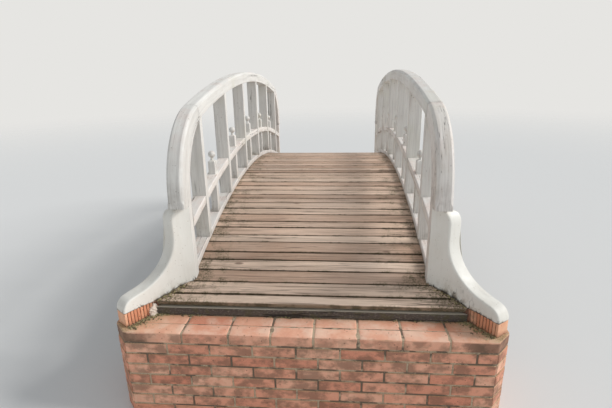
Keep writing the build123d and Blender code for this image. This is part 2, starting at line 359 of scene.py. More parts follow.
# Oil paint brushed on planed pine and weathered for years: an off-white chalky coat that streaks grey along
# the grain, thins to pinkish wood where the rain reaches it, opens in long dark cracks and greens a little in
# the shade. The grain of pine, 1 to 3 mm, is drawn 7 and 30 mm wide, because finer lines are lost in the
# picture
def oilPaint(name, look):
    paintwork = newFinish(name, look)
    broad = clouds(paintwork, "grain", (2.0, 34.0, 1.0), 3.0, 0.44, 0.70)
    fine = clouds(paintwork, "grain", (6.0, 140.0, 1.0), 3.0, 0.42, 0.70)
    washed = clouds(paintwork, "grain", (4.0, 60.0, 1.0), 4.0, 0.50, 0.66)
    patches = clouds(paintwork, "place", 6.0, 5.0, 0.46, 0.62)
    damp = clouds(paintwork, "place", (2.6, 2.6, 1.8), 3.0, 0.54, 0.70)
    open = cracks(paintwork, "grain", look["crackScale"], 0.010, look["keep"])
    speck = spots(paintwork, "place", 60.0, 0.30, 0.16)
    soiled = addNode(paintwork["tree"], "Math", {"operation": "ADD"}, {0: fine, 1: patches})
    colour = layUp(paintwork, "coat", [
        ("streak", ["tone"], 0.22),
        ("streak", [broad], look["streaky"]),
        ("streak", [fine], look["streaky"] * 0.6),
        ("dust", ["upward", patches], look["dusty"]),
        ("bare", [washed, patches], look["thin"]),
        ("algae", [damp], 0.25),
        ("dirt", [speck, patches], 0.7),
        ("dirt", ["grime", soiled], 0.55),
        ("crack", [open], 0.95),
    ])
    finishSurface(paintwork, colour, 0.42, 0.75, patches,
                  [(0.0006, broad), (0.0004, fine), (-0.0003, washed), (-0.0022, open)])


for name, look in oilPaintLooks.items():
    oilPaint(name, look)

wallPaintLook = dict(coat="#ebe8df", cloud="#e3ded3", rain="#cfc9bd", stain="#94805f", soot="#3f372f",
                     crack="#332c26")


# Masonry paint on smooth render: thick and even, clouded by rain, with painted shade greying the tops, and
# rust-brown damp, soot and hairline cracks rising from the foot, where the render sucks up water, ending in a
# dark line of painted shade at the very foot. Cracks of half a millimetre are drawn 2 mm wide, to show
def wallPaint(name, look):
    render = newFinish(name, look)
    cloudy = clouds(render, "place", (7.0, 7.0, 5.0), 4.0, 0.42, 0.68)
    runs = clouds(render, "place", (42.0, 42.0, 3.0), 3.0, 0.52, 0.72)
    sand = clouds(render, "place", 190.0, 3.0, 0.35, 0.70)
    blotch = clouds(render, "place", (24.0, 24.0, 15.0), 5.0, 0.44, 0.58)
    speck = spots(render, "place", 70.0, 0.28, 0.12)
    rising = mask(render, ("grime", 0.08, 0.70))
    split = mask(render, cracks(render, "place", (22.0, 22.0, 7.0), 0.030, 0.47), rising)
    colour = layUp(render, "coat", [
        ("cloud", [cloudy], 0.55),
        ("rain", [runs], 0.16),
        # painted shade greys the faces that look up, more where the clouds are
        ("rain", ["upward"], 0.16),
        ("rain", ["upward", cloudy], 0.40),
        ("stain", [rising, blotch], 0.60),
        ("soot", [("grime", 0.45, 0.90), blotch], 0.85),
        ("stain", [speck], 0.35),
        # darkest at the very foot: painted shade along the crease, with soot where the wall is wettest
        ("soot", [("grime", 0.78, 1.0)], 0.75),
        ("crack", [split], 0.95),
    ])
    finishSurface(render, colour, 0.45, 0.70, cloudy, [(0.0010, cloudy), (0.00025, sand), (-0.002, split)])


wallPaint("wallPaint", wallPaintLook)

larchLook = dict(dark="#ba9880", middle="#e0bca2", pale="#eed2ba", silver="#cabdb0", line="#846c5a",
                 crack="#3a312a", knot="#6b5242", moss="#5d5734", damp="#4b4435", edge="#766b55")


# Sawn larch laid flat and weathered: pinkish tan that goes silver, ridged along the grain with dark drying
# cracks and knots, olive moss at the ends and along the arrises, the front edge among them, and painted shade
# darkening the sides, undersides and front face of every board, in blotches
def deckLarch(name, look):
    larch = newFinish(name, look)
    broad = clouds(larch, "grain", (1.6, 26.0, 1.0), 4.0, 0.38, 0.66)
    fine = clouds(larch, "grain", (5.0, 170.0, 1.0), 4.0, 0.40, 0.66)
    line = cracks(larch, "grain", (0.7, 70.0, 1.0), 0.034, 0.44)
    split = cracks(larch, "grain", (0.8, 38.0, 1.0), 0.015, 0.575)
    knot = spots(larch, "grain", (4.2, 11.0, 1.0), 0.17, 0.16)
    blotch = clouds(larch, "place", 9.0, 5.0, 0.45, 0.62)
    sheen = clouds(larch, "place", 1.4, 3.0, 0.44, 0.66)
    shadedSides = mask(larch, ("upward", 0.35, 0.0))
    spread = addNode(larch["tree"], "Math", {"operation": "ADD", 1: -0.35}, {0: larch["grime"]})
    spread = addNode(larch["tree"], "Math", {"operation": "ADD"}, {0: blotch, 1: spread})
    mossy = mask(larch, (spread, 0.25, 0.9), ("grime", 0.08, 0.5))
    tufts = mask(larch, mossy, clouds(larch, "place", 85.0, 4.0, 0.44, 0.62))
    colour = layUp(larch, [(0.0, "dark"), (0.45, "middle"), (1.0, "pale")], [
        ("silver", [sheen], 0.25),
        ("line", [broad], 0.38),
        ("pale", [fine, blotch], 0.40),
        ("line", [line], 0.75),
        ("knot", [knot], 0.75),
        ("crack", [split], 0.85),
        # painted shade on the sides, undersides and front face of each board, deepest in blotches
        ("edge", [shadedSides], 0.75),
        ("damp", [shadedSides, blotch], 0.6),
        ("moss", [tufts], 0.9),
        ("damp", [mossy], 0.22),
    ])
    finishSurface(larch, colour, 0.62, 0.88, blotch,
                  [(0.0008, broad), (0.0005, fine), (-0.0008, line), (-0.003, split), (0.0006, knot),
                   (0.002, tufts)])


deckLarch("deckLarch", larchLook)

brickLooks = {
    "thresholdBrick": dict(deep="#d5876b", middle="#e9a486", pale="#f2bd9f", bloom="#f3d3bb", soot="#66503f",
                           moss="#61583a", silt="#ad9669", pit="#744835", dusty=0.60),
    "plinthBrick": dict(deep="#dd8f69", middle="#eda680", pale="#f4bd98", bloom="#efcbaa", soot="#6b5146",
                        moss="#61583a", silt="#ad9669", pit="#70432f", dusty=0.30),
}


# Hand-moulded clay brick: salmon, each fired a little differently, sandy and pitted, with a pale dusty bloom
# on top and soot and moss on the faces that stay damp; the soot on the side faces is partly painted shade
def brickFinish(name, look):
    clay = newFinish(name, look)
    blotch = clouds(clay, "place", 17.0, 5.0, 0.42, 0.64)
    sand = clouds(clay, "place", 140.0, 4.0, 0.38, 0.66)
    bloom = clouds(clay, "place", 8.0, 5.0, 0.44, 0.62)
    damp = clouds(clay, "place", (11.0, 11.0, 14.0), 5.0, 0.42, 0.58)
    pit = spots(clay, "place", 70.0, 0.32, 0.09)
    upright = mask(clay, ("upward", 0.30, 0.0))
    colour = layUp(clay, [(0.0, "deep"), (0.5, "middle"), (1.0, "pale")], [
        ("deep", [blotch], 0.45),
        ("pale", [sand], 0.30),
        ("bloom", ["upward", bloom], look["dusty"]),
        ("pit", [pit], 0.75),
        # soot on the side faces: dirt and painted shade together, darkest where the grime is high
        ("soot", [upright, damp, "grime"], 0.75),
        ("soot", [upright, ("grime", 0.82, 1.0)], 0.70),
        ("silt", ["upward", "grime"], 0.68),
        ("moss", ["upward", "grime", damp, sand], 0.9),
    ])
    finishSurface(clay, colour, 0.78, 0.95, sand, [(0.0012, blotch), (0.0006, sand), (-0.0016, pit)])


for name, look in brickLooks.items():
    brickFinish(name, look)

mortarLook = dict(lime="#cdb79a", worn="#96826c", hole="#463b32", moss="#706450", fresh="#f3e4d5")


# Lime mortar with coarse sand: sandy buff, washed out in places into open holes whose dark is painted shade,
# with moss in the hollows, and chalky white where it has broken up lately, which a high tone tells. The sand,
# of 1 to 2 mm, is drawn 4 mm wide, to show
def limeMortar(name, look):
    mortar = newFinish(name, look)
    washed = clouds(mortar, "place", 9.0, 4.0, 0.46, 0.54)
    sand = clouds(mortar, "place", 260.0, 3.0, 0.38, 0.66)
    mossy = clouds(mortar, "place", 16.0, 4.0, 0.57, 0.66)
    colour = layUp(mortar, "lime", [
        ("worn", [sand], 0.6),
        # painted shade of open holes where the mortar is washed out
        ("hole", [washed], 0.75),
        ("moss", [mossy], 0.5),
        ("fresh", [("tone", 0.55, 0.8)], 0.85),
    ])
    finishSurface(mortar, colour, 0.85, 0.95, sand, [(0.0010, sand), (-0.002, washed)])


limeMortar("limeMortar", mortarLook)

litterLook = dict(moss="#9a9264", dry="#cbb98f", earth="#6a5b47")


# Moss and crumbled dirt: soft, earth brown to olive green and straw from one crumb to the next
def mossAndDirt(name, look):
    crumbs = newFinish(name, look)
    fuzz = clouds(crumbs, "place", 420.0, 3.0, 0.35, 0.65)
    colour = layUp(crumbs, [(0.15, "earth"), (0.5, "moss"), (1.0, "dry")], [("earth", [fuzz], 0.35)])
    finishSurface(crumbs, colour, 0.9, 1.0, fuzz, [(0.0015, fuzz)])


mossAndDirt("mossAndDirt", litterLook)

oakLook = dict(heart="#4a4541", pale="#6b645b", silver="#8d867b", moss="#5a573c", crack="#1f1b18",
               dust="#cdc3b1")


# Oak beam, rough sawn and stained dark by the wet: grey-brown, with pale specks of dirt and moss, and a
# pale top that is dust and painted highlight
def darkOak(name, look):
    oak = newFinish(name, look)
    broad = clouds(oak, "grain", (1.8, 30.0, 1.0), 4.0, 0.40, 0.66)
    fleck = clouds(oak, "grain", (60.0, 110.0, 1.0), 4.0, 0.52, 0.66)
    mossy = clouds(oak, "place", 24.0, 5.0, 0.50, 0.62)
    split = cracks(oak, "grain", (0.9, 20.0, 1.0), 0.020, 0.52)
    colour = layUp(oak, "heart", [
        ("pale", [broad], 0.6),
        ("silver", [fleck], 0.75),
        ("moss", [mossy], 0.6),
        # the pale top is dust and painted highlight together
        ("dust", ["upward"], 0.85),
        ("crack", [split], 0.9),
    ])
    finishSurface(oak, colour, 0.65, 0.90, broad, [(0.0008, broad), (0.0006, fleck), (-0.002, split)])


darkOak("darkOak", oakLook)
print("finishes made,", len(materials))

# Slopes and turns in degrees. The foot of the wall is wettest near wetY, and less so over wetReach from it.
# Its damp reaches wetHeight up, and the dark line of painted shade at the very foot shadeHeight
wing = dict(radius=1.124, thickness=0.105, startSlope=34.3, sweep=25.0, outlineTurn=6.0, shoulderLength=0.028,
            noseRadius=0.090, sweepTop=0.480, sweepRadius=0.305, sweepFall=12.0, toeRadius=0.075, arris=0.011,
            wetY=2.25, wetReach=0.085, wetHeight=0.055, shadeHeight=0.010)
wingStart, halfSweep = math.radians(wing["startSlope"]), math.radians(wing["sweep"] / 2)
wingCentre = np.array([railIn - wing["radius"] * math.sin(wingStart),
                       postFront + wing["radius"] * math.cos(wingStart)])
wingSlope = math.radians(wing["startSlope"] + wing["sweep"] / 2 + wing["outlineTurn"])
wingLength = 2 * wing["radius"] * math.sin(halfSweep) * math.cos(math.radians(wing["outlineTurn"]))
wingAlong = np.array([math.cos(wingSlope), math.sin(wingSlope)])
wingOff = np.array([wingAlong[1], -wingAlong[0]])


# The x of a wing wall's inner face at y, from its circle: the root of radius squared less the distance
# squared
def wallX(y):
    return wingCentre[0] + np.sqrt(np.maximum(wing["radius"] ** 2 - (y - wingCentre[1]) ** 2, 0))


# Half of the walkway's width over the stringers, between the legs, and in the flare between the wing walls
def walkwayHalf(y):
    y = np.abs(y)
    return np.where(y < legBack, railOut, np.where(y < postFront, railIn, wallX(np.minimum(y, deckEnd))))


# Widths in millimetres from the end to the crest, and the lowest tone of the first boards, which makes them
# paler
board = dict(pitches=[74, 107, 111, 105, 85, 117, 88, 103, 88, 111, 99, 111, 80, 80,
                      100, 104, 108, 110, 88, 92, 92, 76, 114],
             gaps=(0.006, 0.013), arris=0.0045, noseArris=0.008, columns=44, wander=0.0012, cup=0.0015,
             sink=0.002, trim=0.004, worn=[1.0, 0.85], endDirt=0.16, edgeDirt=0.008)


# A deck board: a rounded section bent to the arch, carried across the walkway, with edges that wander, a
# slightly hollow top and ends trimmed a few millimetres short. Grime gathers at the ends and along the
# arrises
def deckBoard(inner, outer, turn, seed, arris, worn):
    waves = np.random.default_rng(seed)
    width = outer - inner
    ring, around = roundedRing(width, arch["boards"], arris, (1, 5))
    across = np.linspace(-1, 1, board["columns"])[:, None]
    s, h = ring[:, 0] + 0 * across, ring[:, 1] + 0 * across
    wavy = drift(np.stack([0.9 * across + 0 * s, 3 * np.sign(s), 0 * s], -1), 0.16, seed)
    s = s - np.sign(s) * board["wander"] * (1 + wavy) * (np.abs(s) > width * 0.3)
    hollow = board["cup"] * (1 - (2 * s / width) ** 2) * waves.uniform(0.2, 1)
    h = h - np.where(h > 0, hollow, 0) - waves.uniform(0, board["sink"])
    angle = ((inner + outer) / 2 + s) / arch["deck"]
    radius = arch["deck"] - arch["boards"] / 2 + h
    y, z = radius * np.sin(angle), centreZ + radius * np.cos(angle)
    x = across * (walkwayHalf(y) - np.where(across < 0, waves.uniform(0, board["trim"]),
                                            waves.uniform(0, board["trim"])))
    # the first boards are paler, by a higher lowest tone
    cut, tone = waves.uniform(0, stock, 2), max(worn, waves.uniform())
    grime = 1.25 * fading(walkwayHalf(y) - np.abs(x), board["endDirt"])
    grime = grime + 0.5 * fading(width / 2 - np.abs(s), board["edgeDirt"])
    return closedSkin(np.stack([x, turn * y, z], -1), x, around, ring, cut, tone, grime)


# Lays the boards of each half. Their edges lie on the arch at the sums of their widths, with a gap of its own
# at each
def makeDeck():
    edges = arch["deck"] * math.asin(deckEnd / arch["deck"]) - np.cumsum([0, *board["pitches"]]) * mm
    edges = [*edges.tolist(), 0.0]
    for turn, end in ends:
        gaps = np.random.default_rng(40 + turn).uniform(*board["gaps"], len(edges)).tolist()
        grids = []
        for n in range(len(edges) - 1):
            outer = edges[n] - (gaps[n] / 2 if n else 0)
            arris = board["arris"] if n else board["noseArris"]
            worn = board["worn"][n] if n < len(board["worn"]) else 0.0
            grids += deckBoard(edges[n + 1] + gaps[n + 1] / 2, outer, turn, 100 * turn + 500 + n, arris, worn)
        gridPiece("deckBoards." + end, grids, "deckLarch", ["deck_boards_" + end])
    print("deck laid,", 2 * (len(edges) - 1), "boards")


makeDeck()

bar = dict(step=0.05, wander=0.0006, bow=0.0012, undersideDirt=0.012, footDirt=0.05)
kerb = dict(width=0.090, arris=0.007)
stringer = dict(width=0.080, arris=0.004, middleEnd=2.250)
midRail = dict(width=0.090, arris=0.005)
upright = dict(pitch=0.692, pairs=3, thickness=0.050, arris=0.004, rows=16)


# A bar that follows the arch: a rounded section stood upright at each y, between two arcs or on a level floor
def archedBar(yFrom, yTo, lowRadius, highRadius, xEdges, arris, seed, floor=0.0, splits=(1, 3)):
    height = highRadius - lowRadius
    xLow, xHigh = sorted(xEdges)
    ring, around = roundedRing(xHigh - xLow, height, arris, splits)
    share = ring[:, 1] / height + 0.5
    y = np.linspace(yFrom, yTo, max(4, int(abs(yTo - yFrom) / bar["step"])))[:, None] + 0 * share
    low, high = np.maximum(arcLevel(lowRadius, y), floor), arcLevel(highRadius, y)
    points = np.stack([(xLow + xHigh) / 2 + ring[:, 0] + 0 * y, y, low + share * (high - low)], -1)
    points[..., 0] += bar["wander"] * drift(points, 0.3, seed)
    points[..., 2] -= bar["wander"] * (1 + drift(points, 0.4, seed + 1))
    grime = 0.8 * fading(share * height, bar["undersideDirt"]) + 0 * y
    return closedSkin(points, y, around, ring, *cutFrom(seed), grime, 0.3)


# A standing timber as wide as the railing: a rounded section carried straight up, each point on its own line,
# with a slight bow. The levels at y come from a function
def standingBar(side, yLow, yHigh, levelsAt, seed):
    ring, around = roundedRing(railWidth, yHigh - yLow, upright["arris"], (1, 3))
    share = np.linspace(0, 1, upright["rows"])[:, None]
    x = side * railMiddle + ring[:, 0] + 0 * share
    y = (yLow + yHigh) / 2 + ring[:, 1] + 0 * share
    low, high = levelsAt(y)
    z = low + share * (high - low)
    points = np.stack([x, y, z], -1)
    points[..., 1] += bar["bow"] * drift(points, 0.35, seed) * np.sin(np.pi * share)
    return closedSkin(points, z, around, ring, *cutFrom(seed), fading(z - low, bar["footDirt"]))


# The arcs that an upright stands between: the top of the kerb and the underside of the handrail
def uprightLevels(y):
    return arcLevel(arch["deck"] + arch["kerb"], y), arcLevel(arch["deck"] + arch["railLow"], y)


# Kerbs, stringers, and the middle rails in lengths between the broad uprights, which stand a pitch apart
def makeArchedTimbers():
    deck, under = arch["deck"], arch["deck"] - arch["boards"]
    half, reach = upright["thickness"] / 2, midRail["width"] / 2
    places = [(n + 0.5) * upright["pitch"] for n in range(-upright["pairs"], upright["pairs"])]
    starts = [-legBack] + [place + half for place in places]
    stops = [place - half for place in places] + [legBack]
    beams = dict(floor=paving, splits=(4, 2))
    for side, hand in sides:
        outside, middle = side * railOut, side * railMiddle
        edges = (outside - side * kerb["width"], outside)
        grids = archedBar(-legBack, legBack, deck, deck + arch["kerb"], edges, kerb["arris"], 900 + side)
        gridPiece("kerb." + hand, grids, "wornOilPaint", ["kerb_" + hand])
        edges = (outside - side * stringer["width"], outside)
        grids = archedBar(-legBack, legBack, under - arch["stringer"], under, edges, stringer["arris"],
                          910 + side, **beams)
        gridPiece("stringer." + hand, grids, "darkOak", ["stringer_" + hand])
        grids = []
        for n, (start, stop) in enumerate(zip(starts, stops)):
            grids += archedBar(start, stop, deck + arch["midLow"], deck + arch["midHigh"],
                               (middle - reach, middle + reach), midRail["arris"], 930 + 20 * side + n)
        gridPiece("midRail." + hand, grids, "wornOilPaint", ["mid_rail_" + hand])
        grids = []
        for n, place in enumerate(places):
            grids += standingBar(side, place - half, place + half, uprightLevels, 970 + 20 * side + n)
        gridPiece("uprights." + hand, grids, "whiteOilPaint", ["uprights_" + hand])
    edges = (-stringer["width"] / 2, stringer["width"] / 2)
    grids = archedBar(-stringer["middleEnd"], stringer["middleEnd"], under - arch["stringer"], under, edges,
                      stringer["arris"], 920, **beams)
    gridPiece("stringer.middle", grids, "darkOak", ["stringer_middle"])
    print("stringers, kerbs, middle rails and uprights made")


makeArchedTimbers()

# The sizes of the post's section where it ends, on the shoulder of its cap and under the neck, and the radius
# and level of the neck up to the ball, as shares of its radius and in metres over the cap
finial = dict(postWidth=0.056, postRise=0.093, capRise=0.009, neckWidth=0.024, neckRise=0.020,
              ballWidth=0.056, arris=0.004, around=32, rows=20, postRows=12, capSizes=[0.985, 0.43, 0.0],
              neckSizes=[0, 1.25, 1.02, 0.94], neckLevels=[-0.002, -0.002, 0.003, 0.012], footDirt=0.04)


# A square post under a low pyramid, and a turned neck and ball: the radius follows the neck and then a circle
def ballPost(side, place, seed):
    ring, around = roundedRing(finial["postWidth"], finial["postWidth"], finial["arris"], (1, 1))
    top = float(arcLevel(arch["deck"] + arch["midHigh"] + finial["postRise"], place))
    low = arcLevel(arch["deck"] + arch["kerb"], place + ring[:, 1])
    shares = np.linspace(0, 1, finial["postRows"])[:, None]
    size = np.concatenate([np.ones(finial["postRows"]), finial["capSizes"]])[:, None]
    level = np.concatenate([low + shares * (top - low), np.full((1, len(ring)), top + 0.8 * mm),
                            np.full((2, len(ring)), top + finial["capRise"])])
    x, y = side * railMiddle + ring[:, 0] * size, place + ring[:, 1] * size
    cut, tone = cutFrom(seed)
    points, grime = np.stack([x, y, level], -1), fading(level - low, finial["footDirt"])
    grids = closedSkin(points, level, around, ring, cut, tone, grime, 1.0)
    neck, ball = finial["neckWidth"] / 2, finial["ballWidth"] / 2
    start = math.asin(neck / ball)
    turn = np.linspace(start, math.pi, finial["rows"])
    centre = finial["capRise"] + finial["neckRise"] + ball * math.cos(start)
    radius = np.concatenate([neck * np.array(finial["neckSizes"]), ball * np.sin(turn)])[:, None]
    height = [finial["capRise"] + np.array(finial["neckLevels"]), centre - ball * np.cos(turn)]
    height = np.concatenate(height)[:, None]
    spin = np.linspace(0, 2 * np.pi, finial["around"] + 1)
    points = np.stack([side * railMiddle + radius * np.cos(spin), place + radius * np.sin(spin),
                       top + height + 0 * spin], -1)
    places = np.stack([height + cut[0] + 0 * spin, spin * ball + cut[1] + 0 * height], -1)
    return grids[:2] + [(points, places, tone, 0.15)]  # the pyramid closes the top of the post


# A post in the middle between two uprights
def makePosts():
    for side, hand in sides:
        for n in range(1, 2 * upright["pairs"]):
            grids = ballPost(side, (n - upright["pairs"]) * upright["pitch"], 1100 + 20 * side + n)
            gridPiece(f"ballPost.{n}.{hand}", grids, "whiteOilPaint",
                      [f"ball_post_{n}_{hand}"])
    print("ball posts made")


makePosts()

hoop = dict(outerCorner=0.550, innerCorner=0.500, chamfer=0.016, softening=0.0035, innerArris=0.005,
            chamferStop=0.062, runOut=0.038, jointGap=0.003, wander=0.0008, legRows=10, cornerRows=32,
            archRows=44, jointSlant=0.225, footDirt=(0.05, 0.20), jointShade=0.012)


# Where rays from a point leave a circle: the far root of the quadratic
def circleHit(start, way, centre, radius):
    offset = start - centre
    along = way @ offset
    reach = -along + np.sqrt(along ** 2 + radius ** 2 - offset @ offset)
    return start + reach[:, None] * way


# The centre of a hoop's corner, whose circle touches the leg from within and the arch of that radius, and its
# tilt: the angle from upright at which it lies from the centre of the arch
def cornerCentre(front, corner, radius):
    y = front - corner
    return np.array([y, arcLevel(radius - corner, y)]), math.asin(y / (radius - corner))


# Half a hoop as rays through its section, from the foot of the leg to the crown: level ones up the leg, then
# turning about the centre of the outer corner, then about the centre of the arch. Gives the outer and inner
# points as y, z, and the row of the joint between leg and rail
def hoopRays():
    outerR, innerR = arch["deck"] + arch["railHigh"], arch["deck"] + arch["railLow"]
    archCentre = np.array([0.0, centreZ])
    outerCentre, tilt = cornerCentre(legFront, hoop["outerCorner"], outerR)
    innerCentre, innerTilt = cornerCentre(legBack, hoop["innerCorner"], innerR)
    levels = np.linspace(legFoot, outerCentre[1], hoop["legRows"])
    angle = np.linspace(0, math.pi / 2 - tilt, hoop["cornerRows"])[1:]
    way = np.stack([np.cos(angle), np.sin(angle)], -1)
    outer = [np.stack([legFront + 0 * levels, levels], -1), outerCentre + hoop["outerCorner"] * way]
    inner = [np.stack([legBack + 0 * levels, levels], -1),
             circleHit(outerCentre, way, innerCentre, hoop["innerCorner"])]
    angle = np.linspace(tilt, 0, hoop["archRows"])
    way = np.stack([np.sin(angle), np.cos(angle)], -1)
    cornered = circleHit(archCentre, way, innerCentre, hoop["innerCorner"])
    outer.append(archCentre + outerR * way)
    inner.append(np.where((angle > innerTilt)[:, None], cornered, archCentre + innerR * way))
    return np.concatenate(outer), np.concatenate(inner), len(levels) + hoop["cornerRows"] - 2


# Skin of a stretch of hoop. Each section is a rectangle between the outer and inner point, with chamfers of
# that size on the two outer edges, softened by a short extra slope, and small rounds on the inner edges
def hoopSkin(side, outer, inner, chamfer, run, grime, seed):
    depth = np.linalg.norm(outer - inner, axis=1)
    half, e, r, s = railWidth / 2, hoop["softening"], hoop["innerArris"], 3 * mm
    c = np.maximum(chamfer, 1.2 * e)
    zero = 0 * depth
    across = [half * 0.5 + zero, half - c - e - s, half - c - e, half - c + 0.7 * e, half - 0.7 * e + zero,
              *[half + zero] * 7, half - 0.3 * r + zero, half - r + zero, half - r - s + zero,
              half * 0.4 + zero]
    inward = [zero, zero, zero, 0.7 * e + zero, c - 0.7 * e, c + e, c + e + s, depth * 0.4, depth * 0.6,
              depth * 0.8, depth - r - s, depth - r, depth - 0.3 * r, depth, depth, depth]
    across, inward = np.stack(across, -1), np.stack(inward, -1)
    across = np.concatenate([across, -across[:, ::-1], across[:, :1]], 1)
    inward = np.concatenate([inward, inward[:, ::-1], inward[:, :1]], 1)
    section = np.stack([across, inward], -1)
    share = (inward / depth[:, None])[..., None]
    points = np.concatenate([side * (railMiddle + across[..., None]),
                             outer[:, None] + (inner - outer)[:, None] * share], -1)
    points[..., 0] += hoop["wander"] * drift(points, 0.3, seed)
    around = runAlong(section[len(depth) // 2])
    return closedSkin(points, run[:, None] + 0 * across, around, section, *cutFrom(seed),
                      grime[:, None] + 0 * across, 1.0)


# The levels that the post behind a wing wall stands between: the paving and the foot of the leg
def postLevels(y):
    return paving + 0 * y, legFoot + 0 * y


# Legs and handrails from half a hoop and its mirror image, drawn back by half the joint where they meet. The
# chamfer runs out over the foot as a quarter sine. A leg goes on down behind the wing wall as a square post
def makeHoops():
    outer, inner, jointRow = hoopRays()
    middle = (outer + inner) / 2
    run = runAlong(middle)
    rise = np.clip((middle[:, 1] - legFoot - hoop["chamferStop"] + hoop["runOut"]) / hoop["runOut"], 0, 1)
    chamfer = hoop["chamfer"] * np.sin(rise * math.pi / 2)
    slant = hoop["jointSlant"]
    jointWay = np.array([math.cos(math.asin(slant)), slant])  # along the rail at the joint, over y and z
    leg, crown = slice(0, jointRow + 1), slice(jointRow, None)
    near, far = hoop["footDirt"]
    # The leg gathers dirt at its foot, and leg and rail both darken beside their joint with painted shade of
    # the joint
    legDirtAndJointShade = 0.5 * fading(run[leg], near) + 0.4 * fading(run[leg], far)
    legDirtAndJointShade = legDirtAndJointShade + 0.7 * fading(run[jointRow] - run[leg], hoop["jointShade"])
    railOuter, railInner = (np.concatenate([half[crown], (half[crown] * (-1, 1))[::-1][1:]])
                            for half in (outer, inner))
    railRun = np.concatenate([run[crown], 2 * run[-1] - run[crown][::-1][1:]])
    fromJoint = np.stack([railRun - railRun[0], railRun[-1] - railRun])
    railJointShade = 0.7 * fading(fromJoint, hoop["jointShade"]).sum(axis=0)
    for k, sign in ((0, -1), (-1, 1)):
        gap = hoop["jointGap"] / 2 * jointWay * (sign, 1)
        railOuter[k] += gap
        railInner[k] += gap
    for side, hand in sides:
        for turn, end in ends:
            legOuter, legInner = outer[leg] * (turn, 1), inner[leg] * (turn, 1)
            gap = hoop["jointGap"] / 2 * jointWay * (turn, -1)
            legOuter[-1] += gap
            legInner[-1] += gap
            seed = 1200 + 40 * side + 7 * turn
            grids = hoopSkin(side, legOuter, legInner, chamfer[leg], run[leg], legDirtAndJointShade, seed)
            grids += standingBar(side, *sorted((turn * legBack, turn * postFront)), postLevels, seed + 3)
            finish = "crackedOilPaint" if side * turn < 0 else "whiteOilPaint"
            gridPiece(f"railLeg.{end}.{hand}", grids, finish, [f"rail_leg_{end}_{hand}"])
        grids = hoopSkin(side, railOuter, railInner, hoop["chamfer"] + 0 * railRun, railRun, railJointShade,
                         1300 + side)
        gridPiece("handrail." + hand, grids, "whiteOilPaint", ["handrail_" + hand])
    print("hooped handrails made")


makeHoops()


# Side outline of a wing wall from its back to the foot of its toe: level, a quarter round nose, down, a wide
# hollow sweep, a short slope and a round toe, each joining the last without a corner. Gives u along the
# outline's plane and z, and how many rows there are to the end of the nose
def wingOutline():
    flat, nose = wing["shoulderLength"], wing["noseRadius"]
    sweep, toe = wing["sweepRadius"], wing["toeRadius"]
    fall = math.radians(wing["sweepFall"])
    turn, noseU = math.pi / 2 - fall, flat + nose
    top, foot = legFoot - paving, plinthTop - paving
    sweepEnd = np.array([noseU + sweep * (1 - math.sin(fall)), wing["sweepTop"] - sweep * math.cos(fall)])
    slope = (wingLength - sweepEnd[0] - toe * (1 - math.sin(fall))) / math.cos(fall)
    toeStart = sweepEnd + slope * np.array([math.cos(fall), -math.sin(fall)])
    toeCentre = np.array([wingLength - toe, toeStart[1] - toe * math.cos(fall)])
    rounding, sweeping, toeing = steps(math.pi / 2, 0, 18), steps(0, turn, 29), steps(turn, 0, 13)
    parts = [
        np.stack([np.linspace(0, flat, 6), np.full(6, top)], -1),
        np.stack([flat + nose * np.cos(rounding), top - nose + nose * np.sin(rounding)], -1),
        np.stack([np.full(9, noseU), steps(top - nose, wing["sweepTop"], 9)], -1),
        np.stack([noseU + sweep * (1 - np.cos(sweeping)), wing["sweepTop"] - sweep * np.sin(sweeping)], -1),
        sweepEnd + steps(0, 1, 6)[:, None] * (toeStart - sweepEnd),
        toeCentre + toe * np.stack([np.cos(toeing), np.sin(toeing)], -1),
        np.stack([np.full(3, wingLength), steps(toeCentre[1], foot, 3)], -1),
    ]
    return np.concatenate(parts) + (0, paving), len(parts[0]) + len(parts[1])


# Plan of a wing wall in the far right corner. The faces are circles about one centre, so each stands off the
# plane of the outline by the root of radius squared less (u - the centre's u) squared, less the centre's
# distance. Gives the point a share w of the way from one u on the inner face to another on the outer face
def wingPlace(innerU, outerU, w):
    turn = wingSlope - wingStart
    centreU, centreOff = wing["radius"] * math.sin(turn), wing["radius"] * math.cos(turn)

    def onFace(u, radius):
        stand = np.sqrt(radius ** 2 - (u - centreU) ** 2) - centreOff
        return np.array([railIn, postFront]) + u[..., None] * wingAlong + stand[..., None] * wingOff

    inner, outer = onFace(innerU, wing["radius"]), onFace(outerU, wing["radius"] + wing["thickness"])
    return inner + w[..., None] * (outer - inner)


# The u at which the outer face meets the back of the wall, from the crossing of its circle with the line y =
# postFront
def outerStart():
    outerR = wing["radius"] + wing["thickness"]
    x = wingCentre[0] + math.sqrt(outerR ** 2 - (postFront - wingCentre[1]) ** 2)
    return (x - railIn) * math.cos(wingSlope)


